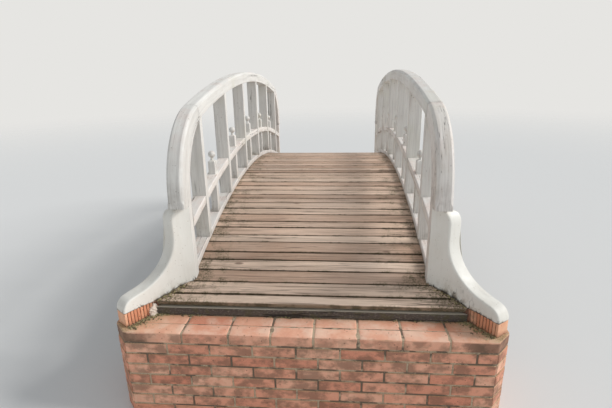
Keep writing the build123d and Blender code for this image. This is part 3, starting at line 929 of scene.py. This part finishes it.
# A wing wall: its rim follows the outline with arrises rounded over a quarter circle, and each side is filled
# by lines that run straight from the outline down to the foot. Its back is cut square against the leg's post,
# so that the rows start skew, from u = 0 on the inner face to a larger u on the outer one, and come level at
# the nose
def wingWall(turn, wetness, seed):
    outline, noseRows = wingOutline()
    nose, flat, arris, thick = wing["noseRadius"], wing["shoulderLength"], wing["arris"], wing["thickness"]
    quarter = np.radians(np.linspace(0, 90, 6))
    insets = np.concatenate([arris * (1 - np.sin(quarter)), np.zeros(3), arris * (1 - np.cos(quarter))])
    depths = np.concatenate([arris * (1 - np.cos(quarter)), thick * np.array([0.3, 0.5, 0.7]),
                             thick - arris * (1 - np.sin(quarter))])
    w = depths / thick + 0 * outline[:, :1]
    skew = outerStart() * np.clip(1 - outline[:, :1] / (flat + nose), 0, 1)
    tangent = np.gradient(outline, axis=0)
    tangent /= np.linalg.norm(tangent, axis=1)[:, None]
    inward = np.stack([tangent[:, 1], -tangent[:, 0]], -1)[:, None] + 0 * w[..., None]
    z = outline[:, 1:] + 0 * w
    over = np.clip((outline[:noseRows, :1] + (skew * w)[:noseRows] - flat) / nose, 0, 1)
    z[:noseRows] = legFoot - nose + nose * np.sqrt(1 - over ** 2)
    inward[:noseRows] = -np.stack([over, np.sqrt(1 - over ** 2)], -1)
    innerU = outline[:, :1] + insets * inward[..., 0]
    outerU, z = innerU + skew, np.maximum(z + insets * inward[..., 1], plinthTop)
    run = runAlong(outline)
    cut, tone = cutFrom(seed)

    # Points are sunk a little by drift, and get their grime: soaked at the foot, most where the wall is
    # wettest, and a thin line of painted shade right along the foot
    def placed(innerU, outerU, w, z, across):
        points = np.concatenate([wingPlace(innerU, outerU, w), z[..., None]], -1)
        outward = points[..., :2] - wingCentre
        outward /= np.linalg.norm(outward, axis=-1, keepdims=True)
        sink = mm * (1 + 1.2 * np.abs(drift(points, 0.12, seed)))
        points[..., :2] -= ((2 * w - 1) * sink)[..., None] * outward
        deckLevel = arcLevel(arch["deck"], np.minimum(points[..., 1], deckEnd))
        above = np.maximum(z - plinthTop - (1 - w) * np.maximum(deckLevel - plinthTop, 0), 0)
        wet = wetness * (0.20 + 0.80 * np.exp(-((points[..., 1] - wing["wetY"]) / wing["wetReach"]) ** 2))
        soakedAndShaded = np.maximum(wet * fading(above, wing["wetHeight"]), fading(above, wing["shadeHeight"]))
        return points * (*turn, 1), across + cut, tone, soakedAndShaded

    grids = [placed(innerU, outerU, w, z, np.stack([run[:, None] + 0 * w, depths + 0 * w], -1))]
    down = np.linspace(0, 1, 22)[:, None]
    for k, face, faceEdge in ((0, 0.0, innerU), (-1, 1.0, outerU)):
        topU, topZ = faceEdge[:, k], z[:, k]
        baseU = topU[0] + run / run[-1] * (topU[-1] - topU[0])
        faceU, faceZ = topU + down * (baseU - topU), topZ + down * (plinthTop - topZ)
        grids.append(placed(faceU, faceU, face + 0 * faceU, faceZ, np.stack([faceZ, faceU + 2 * face], -1)))
    backZ = z[0] + down * (plinthTop - z[0])
    first = [grid[0] + 0 * backZ for grid in (innerU, outerU, w)]
    grids.append(placed(*first, backZ, np.stack([backZ, depths + 5 + 0 * backZ], -1)))
    foot = grids[1][0][-1] + w[0][:, None, None] * (grids[2][0][-1] - grids[1][0][-1])
    foot[:, 0], foot[:, -1] = grids[3][0][-1], grids[0][0][-1]
    return grids + [(foot, foot[..., :2] + cut, tone, 1.0)]


# The four corners: the signs that turn the far right one into each, their names, and how wet the foot of the
# wall is
corners = [((1, 1), "far", "right", 0.8), ((-1, 1), "far", "left", 0.6), ((1, -1), "near", "right", 1.0),
           ((-1, -1), "near", "left", 0.45)]


# A wall in each corner, by the signs that turn it there
def makeWingWalls():
    for n, (turn, end, hand, wetness) in enumerate(corners):
        gridPiece(f"wingWall.{end}.{hand}", wingWall(turn, wetness, 1400 + n), "wallPaint",
                  [f"wing_wall_{end}_{hand}"], 50)
    print("wing walls made")


makeWingWalls()

brick = dict(length=0.260, width=0.1025, course=0.075, joint=0.010, recess=0.005, arris=0.004, wander=0.0012)


# Level places to look up a brick's pattern: its plan, moved on with the height so that no side is a smear
def overBrick(points):
    return points[..., :2] + points[..., 2:] * (0.37, 0.71)


# Bricks from their plan corners (bricks, 4, 2) and levels (bricks, 2). Each is a box of 24 points, one at
# each corner for each face that meets there, so that every edge has a small bevel and every corner a small
# triangle. The points are moved a little at random, as edges wear
def courseBricks(end, plans, levels, seed):
    waves = np.random.default_rng(seed)
    count = len(plans)
    number = np.arange(24).reshape(2, 2, 2, 3)
    corner = np.repeat(np.indices((2, 2, 2)).reshape(3, 8).T, 3, axis=0)
    face = np.tile(np.eye(3, dtype=int), (8, 1))
    size = np.stack([np.linalg.norm(plans[:, 1] - plans[:, 0], axis=1),
                     np.linalg.norm(plans[:, 3] - plans[:, 0], axis=1), levels[:, 1] - levels[:, 0]], -1)
    bevel = waves.uniform(0.5, 1.3, (count, 24, 1)) * brick["arris"] / size[:, None, :]
    shares = corner + (1 - 2 * corner) * bevel * (1 - face)
    a, b, c = shares[..., 0:1], shares[..., 1:2], shares[..., 2:3]
    q = plans[:, None]
    plan = (q[:, :, 0] * (1 - a) + q[:, :, 1] * a) * (1 - b) + (q[:, :, 3] * (1 - a) + q[:, :, 2] * a) * b
    points = np.concatenate([plan, levels[:, None, :1] * (1 - c) + levels[:, None, 1:] * c], -1)
    inner = np.sign(points - points.mean(axis=1, keepdims=True))
    points -= inner * waves.uniform(0, brick["wander"], points.shape)
    quads = []
    for axis in range(3):
        order = [(axis + k) % 3 for k in range(3)]
        flat, first, second = (number[..., k].transpose(order) for k in order)
        quads += [[flat[k, 0, 0], flat[k, 1, 0], flat[k, 1, 1], flat[k, 0, 1]] for k in (0, 1)]
        quads += [[first[0, i, j], first[1, i, j], second[1, i, j], second[0, i, j]]
                  for i in (0, 1) for j in (0, 1)]
    starts = (np.arange(count) * 24)[:, None, None]
    quads = (np.array(quads) + starts).reshape(-1, 4)
    triangles = (number.reshape(8, 3) + starts).reshape(-1, 3)
    vertices = points.reshape(-1, 3)
    flat = overBrick(vertices)
    values = dict(tone=np.repeat(waves.uniform(size=count), 24), grime=abutmentDirtAndShade(vertices))
    makePiece("abutmentBricks." + end, vertices, [quads, triangles],
              np.concatenate([flat[quads].reshape(-1, 2), flat[triangles].reshape(-1, 2)]), values,
              "thresholdBrick", ["abutment_" + end], 30)


# Worn bricks from their plan corners and levels: six grids a brick on a box with rounded edges, more closely
# spaced near them. A point of the box goes to its core, the box less the radius, and from there the radius
# outwards. A slow drift knocks the edges in, and the faces a little
def wornBricks(plans, levels, radius, chips, seed, soiled, splits):
    waves = np.random.default_rng(seed)
    line = np.sin(np.linspace(-1, 1, splits) * math.pi / 2)
    a, b = np.meshgrid(line, line, indexing="ij")
    one = np.ones_like(a)
    faces = ((one, a, b), (-one, a, b), (a, one, b), (a, -one, b), (a, b, one), (a, b, -one))
    box = np.stack([np.stack(face, -1) for face in faces])
    grids = []
    for plan, (low, high) in zip(plans, levels):
        length, width = np.linalg.norm(plan[1] - plan[0]), np.linalg.norm(plan[3] - plan[0])
        half = np.array([length, width, high - low]) / 2
        core = np.clip(box * half, radius - half, half - radius)
        out = box * half - core
        share = (core + radius * out / np.linalg.norm(out, axis=-1, keepdims=True)) / half
        edge = np.clip((np.sort(np.abs(share), axis=-1)[..., 1:2] - 0.80) / 0.2, 0, 1)
        s, t = (share[..., 0:1] + 1) / 2, (share[..., 1:2] + 1) / 2
        flat = (plan[0] * (1 - s) + plan[1] * s) * (1 - t) + (plan[3] * (1 - s) + plan[2] * s) * t
        points = np.concatenate([flat, (low + high) / 2 + share[..., 2:3] * half[2]], -1)
        centre = np.array([*plan.mean(axis=0), (low + high) / 2])
        knock = np.clip(drift(points, 0.018, seed), 0, 1.5)[..., None] * edge * chips
        knock = knock + 0.7 * mm * np.abs(drift(points, 0.05, seed + 1))[..., None]
        points = points - np.sign(points - centre) * knock
        tone = waves.uniform()
        places = overBrick(points)
        grime = soiled(points.reshape(-1, 3)).reshape(points.shape[:-1])
        grids += [(points[k], places[k], tone, grime[k]) for k in range(6)]
    return grids


# Plan corners (bricks, 4, 2) of a row of bricks between two y, with half a joint on both sides of each inner
# joint
def brickRow(joints, yLow, yHigh):
    joints = np.array(joints)
    first, last = joints[:-1] + brick["joint"] / 2, joints[1:] - brick["joint"] / 2
    first[0], last[-1] = joints[0], joints[-1]
    y = np.broadcast_to([yLow, yLow, yHigh, yHigh], (len(first), 4))
    return np.stack([np.stack([first, last, last, first], -1), y], -1)


# A core of mortar behind the joints: a prism on an outline in plan, with more points along it for the grain
def mortarCore(name, rim, low, high, splits):
    closed = np.concatenate([rim, rim[:1]])
    share = np.linspace(0, 1, splits + 1)[:-1, None]
    dense = (closed[:-1, None] + share * (closed[1:] - closed[:-1])[:, None]).reshape(-1, 2)
    dense = np.concatenate([dense, dense[:1]])
    z = np.linspace(low, high, 10)[:, None] + 0 * dense[:, 0]
    points = np.concatenate([np.broadcast_to(dense, (*z.shape, 2)), z[..., None]], -1)
    grids = closedSkin(points, runAlong(dense) + 0 * z, z, dense, (0, 0), 0.5, 0 * z)
    gridPiece(name, grids, "limeMortar")


abutment = dict(frontJoints=[-1.113, -0.738, -0.457, -0.205, 0.048, 0.308, 0.563, 0.830, 1.113],
                halfBrick=0.130, wornRows=2, wornArris=0.005, chips=0.0032, closeGap=0.002, shortest=0.06,
                uneven=0.003, unevenBack=0.002, beamDirtAndShade=0.025, wallDirt=0.09, sideDirtAndShade=0.20)


# The far abutment in plan: half its width, its inner and outer face, and where its corner is cut, the last
# two read from the mesh of its CAD node
def abutmentPlan():
    low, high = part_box("abutment_far")
    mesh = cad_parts["abutment_far"].data
    points = np.zeros((len(mesh.vertices), 3))
    mesh.vertices.foreach_get("co", points.ravel())
    front = points[points[:, 1] > deckEnd]
    cornerX = front[front[:, 1] > front[:, 1].max() - mm][:, 0].max()
    cornerY = front[front[:, 0] > front[:, 0].max() - mm][:, 1].max()
    return high.x, low.y, high.y, cornerX, cornerY


# Grime of an abutment: dirt and painted shade together all over its sides, and dirt on top beside the end
# beam and in the corners by the plinths
def abutmentDirtAndShade(points):
    x, y, z = np.abs(points[:, 0]), np.abs(points[:, 1]), points[:, 2]
    fromWall = np.maximum(wallX(y) - x, x - wallX(y) - wing["thickness"]).clip(0)
    top = 0.7 * fading(np.maximum(y - deckEnd, 0), abutment["beamDirtAndShade"]) * (x < wallX(y))
    top = top + fading(fromWall, abutment["wallDirt"])
    side = np.minimum(0.6 + 0.7 * fading(fromWall, abutment["sideDirtAndShade"]), 1)
    side = np.where(z > paving - brick["course"], side, 0.8)
    return np.where(z > paving - 6 * mm, np.minimum(top, 1), side)


# A brick abutment: courses of stretchers round the outside, broken by half a brick from course to course,
# with a slanted brick across each cut corner, and a top course laid flat in rows, of which the first are
# worn, all on a core of mortar that stands a few millimetres back
def makeAbutment(end, turn, seed):
    halfWidth, innerY, outerY, cornerX, cornerY = abutmentPlan()
    gap, width, back = brick["joint"] / 2, brick["width"] - brick["joint"], brick["recess"]
    plans, levels, front = [], [], []

    def lay(rows, base, top):
        plans.append(rows)
        levels.append(np.tile([base, top], (len(rows), 1)))

    def spaced(first, last, odd):
        start = first + brick["length"] * (0.5 if odd else 1.0)
        return [first, *np.arange(start, last - abutment["shortest"], brick["length"]), last]

    outward = np.array([outerY - cornerY, halfWidth - cornerX])
    outward /= np.hypot(*outward)
    first = np.array([cornerX + gap, outerY - gap * 0.6])
    last = np.array([halfWidth - gap * 0.6, cornerY + gap])
    slanted = np.array([[first, last, last - outward * width * 0.9, first - outward * width * 0.9]])
    courses = round(paving / brick["course"])
    for n in range(courses - 1):
        base, top, odd = n * brick["course"] + (gap if n else 0), (n + 1) * brick["course"] - gap, n % 2
        lay(brickRow(spaced(-cornerX, cornerX, odd), outerY - width, outerY), base, top)
        lay(brickRow(spaced(-halfWidth, halfWidth, odd), innerY, innerY + width), base, top)
        for side in (-1, 1):
            row = brickRow(spaced(innerY + brick["width"], cornerY, odd), 0, width)
            lay(np.stack([side * (halfWidth - row[..., 1]), row[..., 0]], -1), base, top)
            lay(slanted * (side, 1), base, top)

    base = (courses - 1) * brick["course"] + gap
    rows = round((outerY - innerY) / brick["width"])
    pitch = (outerY - innerY) / rows
    gaps = [0] + [abutment["closeGap"] if k < abutment["wornRows"] else gap for k in range(1, rows)] + [0]
    for k in range(rows):
        joints = np.array(abutment["frontJoints"])
        if k >= abutment["wornRows"]:
            joints[:-1] += abutment["halfBrick"] * (k % 2)
        joints[[0, -1]] = -halfWidth, halfWidth
        nextGap = abutment["closeGap"] if k < abutment["wornRows"] - 1 else gap
        low = outerY - (k + 1) * pitch + (nextGap if k < rows - 1 else 0)
        row = brickRow(joints, low, outerY - k * pitch - gaps[k])
        slant = (row[..., 1] - cornerY) * (halfWidth - cornerX) / (cornerY - outerY)
        limit = halfWidth + np.where(row[..., 1] > cornerY, slant, 0)
        row[..., 0] = np.clip(row[..., 0], -limit, limit)
        if k < abutment["wornRows"]:
            front.append(row)
        else:
            lay(row, base, paving)

    front = np.concatenate(front) * (1, turn)
    tops = paving - np.random.default_rng(seed + 5).uniform(0, abutment["uneven"], len(front))
    grids = wornBricks(front, np.stack([base + 0 * tops, tops], -1), abutment["wornArris"], abutment["chips"],
                       seed + 6, abutmentDirtAndShade, 9)
    gridPiece("thresholdBricks." + end, grids, "thresholdBrick", sharp=60)
    plans, levels = np.concatenate(plans) * (1, turn), np.concatenate(levels)
    sunk = np.random.default_rng(seed).uniform(0, abutment["unevenBack"], len(levels))
    levels[:, 1] -= sunk * (levels[:, 1] > paving - mm)
    courseBricks(end, plans, levels, seed)
    rim = np.array([(back - halfWidth, innerY + back), (halfWidth - back, innerY + back),
                    (halfWidth - back, cornerY), (cornerX, outerY - back), (-cornerX, outerY - back),
                    (back - halfWidth, cornerY)])
    mortarCore("abutmentMortar." + end, rim * (1, turn), 0.0, paving - back, 12)


plinth = dict(pitch=0.0215, joint=0.0045, recess=0.005, arris=0.002, chips=0.0015, footDirt=0.02,
              beamDirtAndShade=0.03)


# Grime of a plinth: dirt low down, and painted shade all over beside the end beam
def plinthDirtAndShade(points):
    fromBeam = np.maximum(np.abs(points[:, 1]) - deckEnd, 0)
    low = 0.8 * fading(points[:, 2] - paving, plinth["footDirt"])
    return np.minimum(low + fading(fromBeam, plinth["beamDirtAndShade"]), 1)


# The brick plinth of a wing wall: thin bricks on edge, side by side along the wall, each as deep as the wall.
# On the outer face they start where the back is cut square, and close up to the inner ones with the cube of
# what is left
def makePlinth(end, hand, turn, seed):
    count = round(wingLength / plinth["pitch"])
    gap, recess = plinth["joint"] / 2, plinth["recess"]
    edges = np.linspace(0, wingLength, count + 1)
    low, high = edges[:-1] + gap, edges[1:] - gap
    low[0], high[-1] = recess, wingLength - recess / 2

    def inPlan(u, w):
        return wingPlace(u, u + outerStart() * (1 - u / wingLength) ** 3, w + 0 * u)

    inset = recess / wing["thickness"]
    places = ((low, inset), (high, inset), (high, 1 - inset), (low, 1 - inset))
    plans = np.stack([inPlan(u, w) for u, w in places], 1)
    levels = np.tile([paving, plinthTop - mm], (count, 1))
    grids = wornBricks(plans * turn, levels, plinth["arris"], plinth["chips"], seed, plinthDirtAndShade, 7)
    gridPiece(f"plinthBricks.{end}.{hand}", grids, "plinthBrick",
              [f"wing_plinth_{end}_{hand}"], 60)
    u = np.linspace(2 * recess, wingLength - 2 * recess, 40)
    rim = np.concatenate([inPlan(u, 2.2 * inset), inPlan(u[::-1], 1 - 2.2 * inset)])
    mortarCore(f"plinthMortar.{end}.{hand}", rim * turn, paving, plinthTop - 0.5 * mm, 1)


endBeam = dict(thickness=0.060, arris=0.0015, proud=0.003, columns=60)


# The beam under the last deck board: a rounded section carried across the walkway between the wing walls
def makeEndBeam(end, turn, seed):
    low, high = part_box("end_beam_far")
    height = float(arcLevel(arch["deck"] - arch["boards"], deckEnd)) - paving
    ring, around = roundedRing(endBeam["thickness"] + endBeam["proud"], height, endBeam["arris"], (2, 1))
    across = np.linspace(-1, 1, endBeam["columns"])[:, None]
    y = (low.y + high.y + endBeam["proud"]) / 2 + ring[:, 0] + 0 * across
    z = paving + height / 2 + ring[:, 1] + 0 * across
    x = across * (walkwayHalf(y) - mm)
    points = np.stack([x, y * turn, z], -1)
    points[..., 1] -= turn * mm * (1 + drift(points, 0.2, seed))
    grids = closedSkin(points, x, around, ring, cutFrom(seed)[0], 0.5, 0 * x, 0.5)
    gridPiece("endBeam." + end, grids, "darkOak", ["end_beam_" + end])


# Shares of the crumbs that lie along the beam and in the corners, and how far they reach from them. Along the
# beam they lie near the walls, and where two sine waves add up to more than bareUnder
litter = dict(count=1000, size=(0.0025, 0.0070), flat=0.60, alongBeam=0.20, beamReach=0.008, inCorner=0.35,
              cornerLength=0.09, cornerReach=0.014, heap=0.010, heapReach=0.012, wallReach=0.020,
              patches=(9, 23), bareUnder=0.2, bareHalf=0.8, rows=5, around=7)


# The u at which the inner face of a wing wall meets the end beam, read off a table of its places
def beamMeets():
    u = np.linspace(0, wingLength, 200)
    return float(np.interp(deckEnd, wingPlace(u, u, 0 * u)[:, 1], u))


# Moss and crumbs of dirt that gather in patches along the end beam, heaped up in the corners and along the
# wing walls. Each is a little ball squashed and knocked about at random, a little sunk into what it lies on
def makeLitter(end, turn, seed):
    waves = np.random.default_rng(seed)
    rise = np.linspace(0, math.pi, litter["rows"])[:, None]
    spin = np.linspace(0, 2 * np.pi, litter["around"])
    ball = np.stack([np.sin(rise) * np.cos(spin), np.sin(rise) * np.sin(spin), np.cos(rise) + 0 * spin], -1)
    grids = []
    for n in range(litter["count"]):
        size = waves.uniform(*litter["size"]) * waves.uniform(0.6, 1.3, 3)
        side = waves.choice((-1, 1))
        kind = waves.uniform()
        heaped = 0.0
        if kind < litter["alongBeam"]:
            x = waves.uniform(-1, 1)
            y = deckEnd + endBeam["proud"] + waves.exponential(litter["beamReach"])
            patchy = math.sin(litter["patches"][0] * x + seed) + math.sin(litter["patches"][1] * x)
            if patchy < litter["bareUnder"] and abs(x) < litter["bareHalf"]:
                continue
        else:
            u = waves.uniform(0.05, wingLength) ** 0.8 * wingLength ** 0.2
            off = 6 * mm + waves.exponential(litter["wallReach"])
            if kind > 1 - litter["inCorner"]:
                u = min(beamMeets() + waves.exponential(litter["cornerLength"]), wingLength - 10 * mm)
                off = 3 * mm + waves.exponential(litter["cornerReach"])
                heaped = litter["heap"] * fading(off, litter["heapReach"]) * waves.uniform()
            x, y = wingPlace(np.array(u), np.array(u), np.array(0.0))
            x, y = side * (x - off * math.sin(wingSlope)), y + off * math.cos(wingSlope) * 0.5
        floor = heaped + (paving if y > deckEnd else float(arcLevel(arch["deck"], y)))
        jitter = 1 + 0.25 * drift(ball + n, 0.7, seed)[..., None]
        points = np.array([x, y, floor]) + ball * jitter * size * (1, 1, litter["flat"])
        grids.append((points * (1, turn, 1), points[..., :2], waves.uniform(), 0.0))
    gridPiece("litter." + end, grids, "mossAndDirt", sharp=70)


crumble = dict(length=0.072, depth=0.036, tall=0.076, rough=0.0050, rows=32, around=52)


# Crumbled mortar packed into the corner between a plinth and the end beam: a stump with an oval plan along
# the wall, half sunk into the plinth, higher beside the beam, its radius the fourth root of (1 - rise to the
# fourth), roughened by two drifts
def makeCrumbledMortar(end, hand, turn, seed):
    rise = np.linspace(0, 1, crumble["rows"])[:, None]
    spin = np.linspace(0, 2 * np.pi, crumble["around"])
    middleU = np.array(beamMeets() + 0.20 * crumble["length"])
    size = np.where(rise == 0, 0, np.maximum(1 - rise ** 4, 0) ** 0.25) * (1 - 0.25 * rise)
    length, depth = size * np.cos(spin) * crumble["length"] / 2, size * np.sin(spin) * crumble["depth"] / 2
    flat = wingPlace(middleU, middleU, np.array(0.04))
    flat = flat + length[..., None] * wingAlong + depth[..., None] * wingOff
    level = paving + crumble["tall"] * np.clip(rise * 1.05 - 0.05, 0, 1) * (1 - 0.22 * (1 + np.cos(spin)) / 2)
    points = np.concatenate([flat, level[..., None]], -1)
    rough = drift(points, 0.009, seed) + 0.7 * drift(points, 0.0035, seed + 1)
    rough = crumble["rough"] * rough * np.sin(np.pi * rise) ** 0.5
    points[..., :2] += (rough * np.cos(spin))[..., None] * wingAlong
    points[..., :2] += (rough * np.sin(spin))[..., None] * wingOff
    points[:, -1] = points[:, 0]
    grids = [(points * (*turn, 1), points[..., :2], 0.9, 0.0)]
    gridPiece(f"crumbledMortar.{end}.{hand}", grids, "limeMortar", sharp=50)


# The brickwork, end beam and litter of both ends, and then the plinths, on the left with crumbled mortar
def makeMasonry():
    for turn, end in ends:
        makeAbutment(end, turn, 1500 + turn)
        makeEndBeam(end, turn, 1520 + turn)
        makeLitter(end, turn, 1530 + turn)
    for n, (turn, end, hand, _) in enumerate(corners):
        makePlinth(end, hand, turn, 1540 + n)
        if hand == "left":
            makeCrumbledMortar(end, hand, turn, 1560 + n)
    print("brickwork and end beams made")


makeMasonry()

stage = dict(floorRadius=60.0, floorSides=96, fadeFrom=6.0, fadeTo=22.0, floor="#e2e1de", backdrop="#e6e5e2")


# Links an object to the scene
def addObject(name, data):
    holder = bpy.data.objects.new(name, data)
    bpy.context.scene.collection.objects.link(holder)
    return holder


# Pale floor that fades into the backdrop with the distance from the bridge, so that no horizon shows
def makeStage():
    material = bpy.data.materials.new("paleFloor")
    material.use_nodes = True
    tree = material.node_tree
    tree.nodes.clear()
    place = addNode(tree, "TexCoord", out="Object")
    away = addNode(tree, "VectorMath", {"operation": "LENGTH"}, {0: place}, "Value")
    fade = addNode(tree, "MapRange", {"From Min": stage["fadeFrom"], "From Max": stage["fadeTo"],
                                      "interpolation_type": "SMOOTHSTEP"}, {"Value": away})
    solid = addNode(tree, "BsdfDiffuse", {"Color": paint(stage["floor"])})
    mixed = addNode(tree, "MixShader", links={0: fade, 1: solid, 2: addNode(tree, "BsdfTransparent")})
    addNode(tree, "OutputMaterial", links={"Surface": mixed})
    angle = np.linspace(0, 2 * np.pi, stage["floorSides"] + 1)[:-1]
    rim = stage["floorRadius"] * np.stack([np.cos(angle), np.sin(angle), 0 * angle], -1)
    mesh = bpy.data.meshes.new("floor")
    mesh.from_pydata(rim.tolist(), [], [list(range(stage["floorSides"]))])
    mesh.materials.append(material)
    addObject("floor", mesh)


# Strengths, the way that each lamp comes from, and the angle that it fills in the sky, in degrees
light = dict(sky=0.51, skyColour="#e9eff6", keyFrom=(1.0, 0.10, 0.68), keyPower=2.41, keySpread=20.0,
             fillFrom=(0.9, -1.0, 0.35), fillPower=0.32, fillSpread=60.0)


# A pale sky, with the plain backdrop where it is seen, and two broad soft lamps so far off that they light
# the bridge and the whole floor alike
def makeLight():
    world = bpy.data.worlds.new("studio")
    bpy.context.scene.world = world
    world.use_nodes = True
    tree = world.node_tree
    tree.nodes.clear()
    seen = addNode(tree, "LightPath", out="Is Camera Ray")
    for ray in ("Is Glossy Ray", "Is Transmission Ray"):
        also = addNode(tree, "LightPath", out=ray)
        seen = addNode(tree, "Math", {"operation": "MAXIMUM"}, {0: seen, 1: also})
    sky = addNode(tree, "Background", {"Color": paint(light["skyColour"]), "Strength": light["sky"]})
    backdrop = addNode(tree, "Background", {"Color": paint(stage["backdrop"]), "Strength": 1.0})
    mixed = addNode(tree, "MixShader", links={0: seen, 1: sky, 2: backdrop})
    addNode(tree, "OutputWorld", links={"Surface": mixed})
    for name in ("key", "fill"):
        lamp = bpy.data.lights.new(name, "SUN")
        lamp.energy, lamp.angle = light[name + "Power"], math.radians(light[name + "Spread"])
        towards = Vector(light[name + "From"]).to_track_quat("Z", "Y")
        addObject(name, lamp).rotation_euler = towards.to_euler()


viewpoint = dict(place=(0.188, -4.593, 2.067), yaw=4.60, pitch=17.51, roll=-1.03, focalPixels=420.0,
                 imageWidth=612.0, sensor=36.0)


# Camera at the photograph's place: yaw to the left of +Y, pitch down and a slight roll, as a rotation by its
# axes
def makeCamera():
    yaw, pitch, roll = (math.radians(viewpoint[key]) for key in ("yaw", "pitch", "roll"))
    forward = Vector((-math.sin(yaw) * math.cos(pitch), math.cos(yaw) * math.cos(pitch), -math.sin(pitch)))
    level = Vector((math.cos(yaw), math.sin(yaw), 0))
    plumb = level.cross(forward)
    right = level * math.cos(roll) + plumb * math.sin(roll)
    up = plumb * math.cos(roll) - level * math.sin(roll)
    camera = bpy.data.cameras.new("camera")
    camera.sensor_width = viewpoint["sensor"]
    camera.lens = viewpoint["focalPixels"] / viewpoint["imageWidth"] * viewpoint["sensor"]
    holder = addObject("camera", camera)
    turned = Matrix((right, up, -forward)).transposed().to_4x4()
    holder.matrix_world = Matrix.Translation(viewpoint["place"]) @ turned
    bpy.context.scene.camera = holder


makeStage()
makeLight()
makeCamera()
bpy.context.scene.view_settings.view_transform = "Standard"
print("stage, light and camera set")
